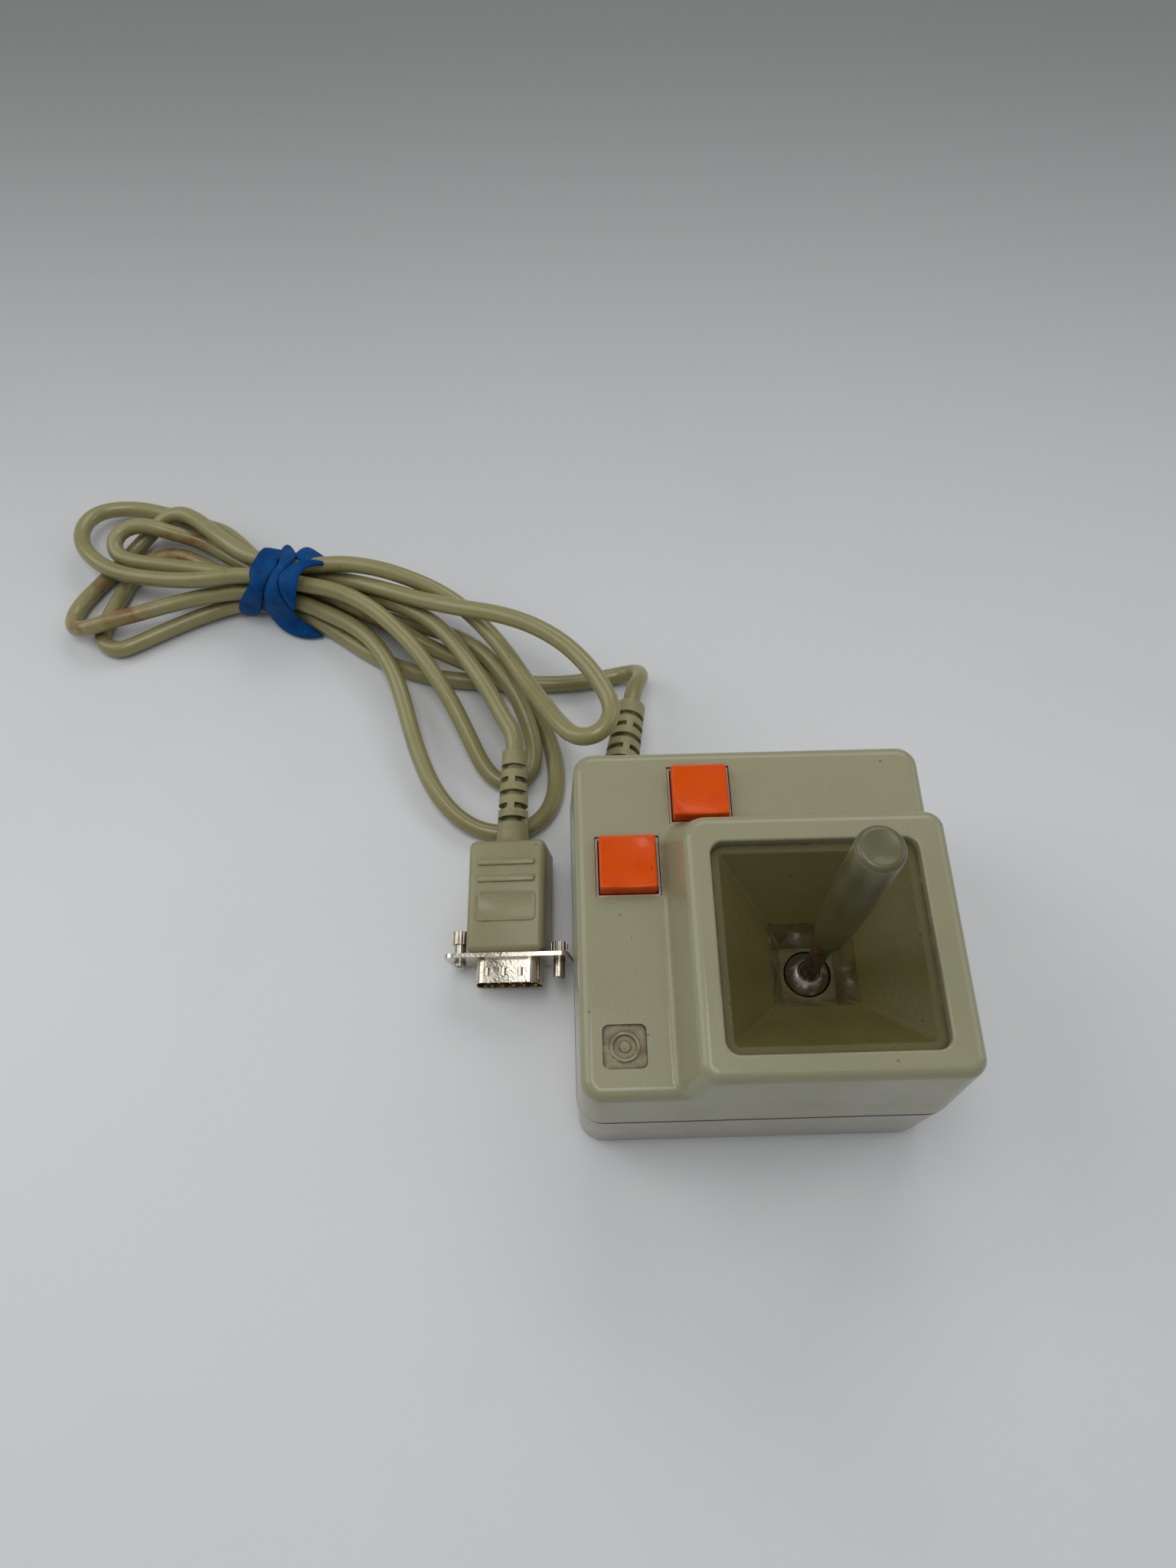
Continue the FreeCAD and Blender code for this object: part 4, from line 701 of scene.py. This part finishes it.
def rubber(obj, thick, levels):
    """Gives a sheet its thickness in millimetres, half to each side, and rounds it."""
    solid = obj.modifiers.new("thickness", "SOLIDIFY")
    solid.thickness = thick * MM
    solid.offset = 0
    smooth = obj.modifiers.new("smooth", "SUBSURF")
    smooth.levels = levels
    smooth.render_levels = levels
    return obj


def ribbon(name, stations, thick=0.9, crown=0.7):
    """A strip of rubber that follows pairs of points: crowned along its middle and given its thickness."""
    bm = bmesh.new()
    chain = [bm.verts.new(Vector(place) * MM) for place in stations[0]]
    edge = bm.edges.new(chain)
    rungs = [edge]
    for station in stations[1:]:
        made = bmesh.ops.extrude_edge_only(bm, edges=[edge])["geom"]
        edge = next(g for g in made if isinstance(g, bmesh.types.BMEdge))
        rungs.append(edge)
        ends = sorted(edge.verts, key=lambda v: (v.co - chain[0].co).length)
        for vert, place in zip(ends, station):
            vert.co = Vector(place) * MM
        chain = ends
    lift = {}
    for rung in rungs:
        first, last = rung.verts
        lift[tuple((first.co + last.co) / 2)] = min(crown * MM, 0.14 * rung.calc_length())
    halves = bmesh.ops.subdivide_edges(bm, edges=rungs, cuts=1)
    middles = [g for g in halves["geom_inner"] if isinstance(g, bmesh.types.BMVert)]
    bm.normal_update()
    facing = Vector((0, -0.45, 0.89))  # the side that bulges faces up and to the front
    for vert in middles:
        away = vert.normal if vert.normal.dot(facing) > 0 else -vert.normal
        vert.co += away * lift[min(lift, key=lambda k: (Vector(k) - vert.co).length)]
    return rubber(piece(name, bm, "band", "base", smooth=180), thick, 3)


def band_ring():
    """The turns of the band that hug the bundle, with edges that wander a little."""
    bm = bmesh.new()
    along = Vector((0.97, -0.24, 0)).normalized()
    across = Vector((0.24, 0.97, 0)).normalized()
    centre = Vector((-126, 119.5, 8.9))
    radius = 8.1
    squareness = 2.8
    reaches = (-4.6, -2, 0.6, 3.0, 5.2)
    steps = 36
    rows = []
    for step in range(steps):
        angle = 2 * math.pi * step / steps
        out, up = math.cos(angle), math.sin(angle)
        spread = (abs(out) ** squareness + abs(up) ** squareness) ** (-1 / squareness)
        rim = centre + radius * spread * (across * out + Vector((0, 0, up)))
        wander = 0.5 * math.sin(3 * angle) + 0.3 * math.sin(5 * angle + 1)
        rows.append([bm.verts.new((rim + along * (reach + wander)) * MM) for reach in reaches])
    for first, second in zip(rows, rows[1:] + rows[:1]):
        for a, b, c, d in zip(first, first[1:], second[1:], second):
            bm.faces.new((a, b, c, d))
    return rubber(piece("band_ring", bm, "band", "base", ["cord_band"], smooth=180), 1.0, 1)


for side in ("left", "back"):
    button_cap(side)
hood = plug_grip()
bands = [band_ring()] + [ribbon(name, stations) for name, stations in RIBBONS.items()]
cord = lay_cord()
cord.data.materials.append(FINISHES["cord"])
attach(cord, "base")
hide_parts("cord")


# ---------------------------------------------------------------- floor and light
def floor_finish():
    """Pale grey board with painted shade that darkens it a little towards the back."""
    material, n, shader = new_finish("pale board")
    # Painted shade: darker towards the back.
    back = n.range(n.height("Y"), -0.02, 0.46)
    pale = effect(n, "mottle", Base=tone(231, 232, 233), Stain=tone(226, 228, 230), Scale=9.0, Amount=0.6)
    n.set(shader, Base_Color=n.mix(back, pale, tone(140, 141, 140)), Roughness=0.5)
    shader.inputs["Specular IOR Level"].default_value = 0.3
    return material


bpy.ops.mesh.primitive_plane_add(size=6, location=(0, 0, -0.0002))
floor = bpy.context.object
floor.name = "floor"
floor.data.materials.append(floor_finish())


def soft_light(name, place, aim, size, power):
    """A rectangular white lamp that faces a point."""
    lamp = bpy.data.lights.new(name, "AREA")
    lamp.shape = "RECTANGLE"
    lamp.size, lamp.size_y = size
    lamp.energy = power
    obj = bpy.data.objects.new(name, lamp)
    obj.location = place
    obj.rotation_euler = (Vector(aim) - Vector(place)).to_track_quat("-Z", "Y").to_euler()
    bpy.context.scene.collection.objects.link(obj)


soft_light("back wall", (0.15, 0.75, 0.7), (-0.03, 0.03, 0), (0.7, 0.4), 1.6)
soft_light("overhead", (-0.12, -0.02, 0.95), (-0.03, 0.02, 0), (0.5, 0.3), 1.8)
soft_light("ceiling strip", (-0.05, -0.32, 0.95), (0, 0, 0.04), (0.8, 0.04), 0.35)
soft_light("left wall", (-0.65, 0.2, 0.5), (-0.14, 0.08, 0), (0.5, 0.6), 1.5)
soft_light("right wall", (0.8, 0.2, 0.5), (-0.03, 0.03, 0), (0.5, 0.7), 1.0)
world = bpy.data.worlds.new("tent")
world.use_nodes = True
world.node_tree.nodes["Background"].inputs["Color"].default_value = (0.92, 0.96, 1.0, 1)
world.node_tree.nodes["Background"].inputs["Strength"].default_value = 0.22
bpy.context.scene.world = world
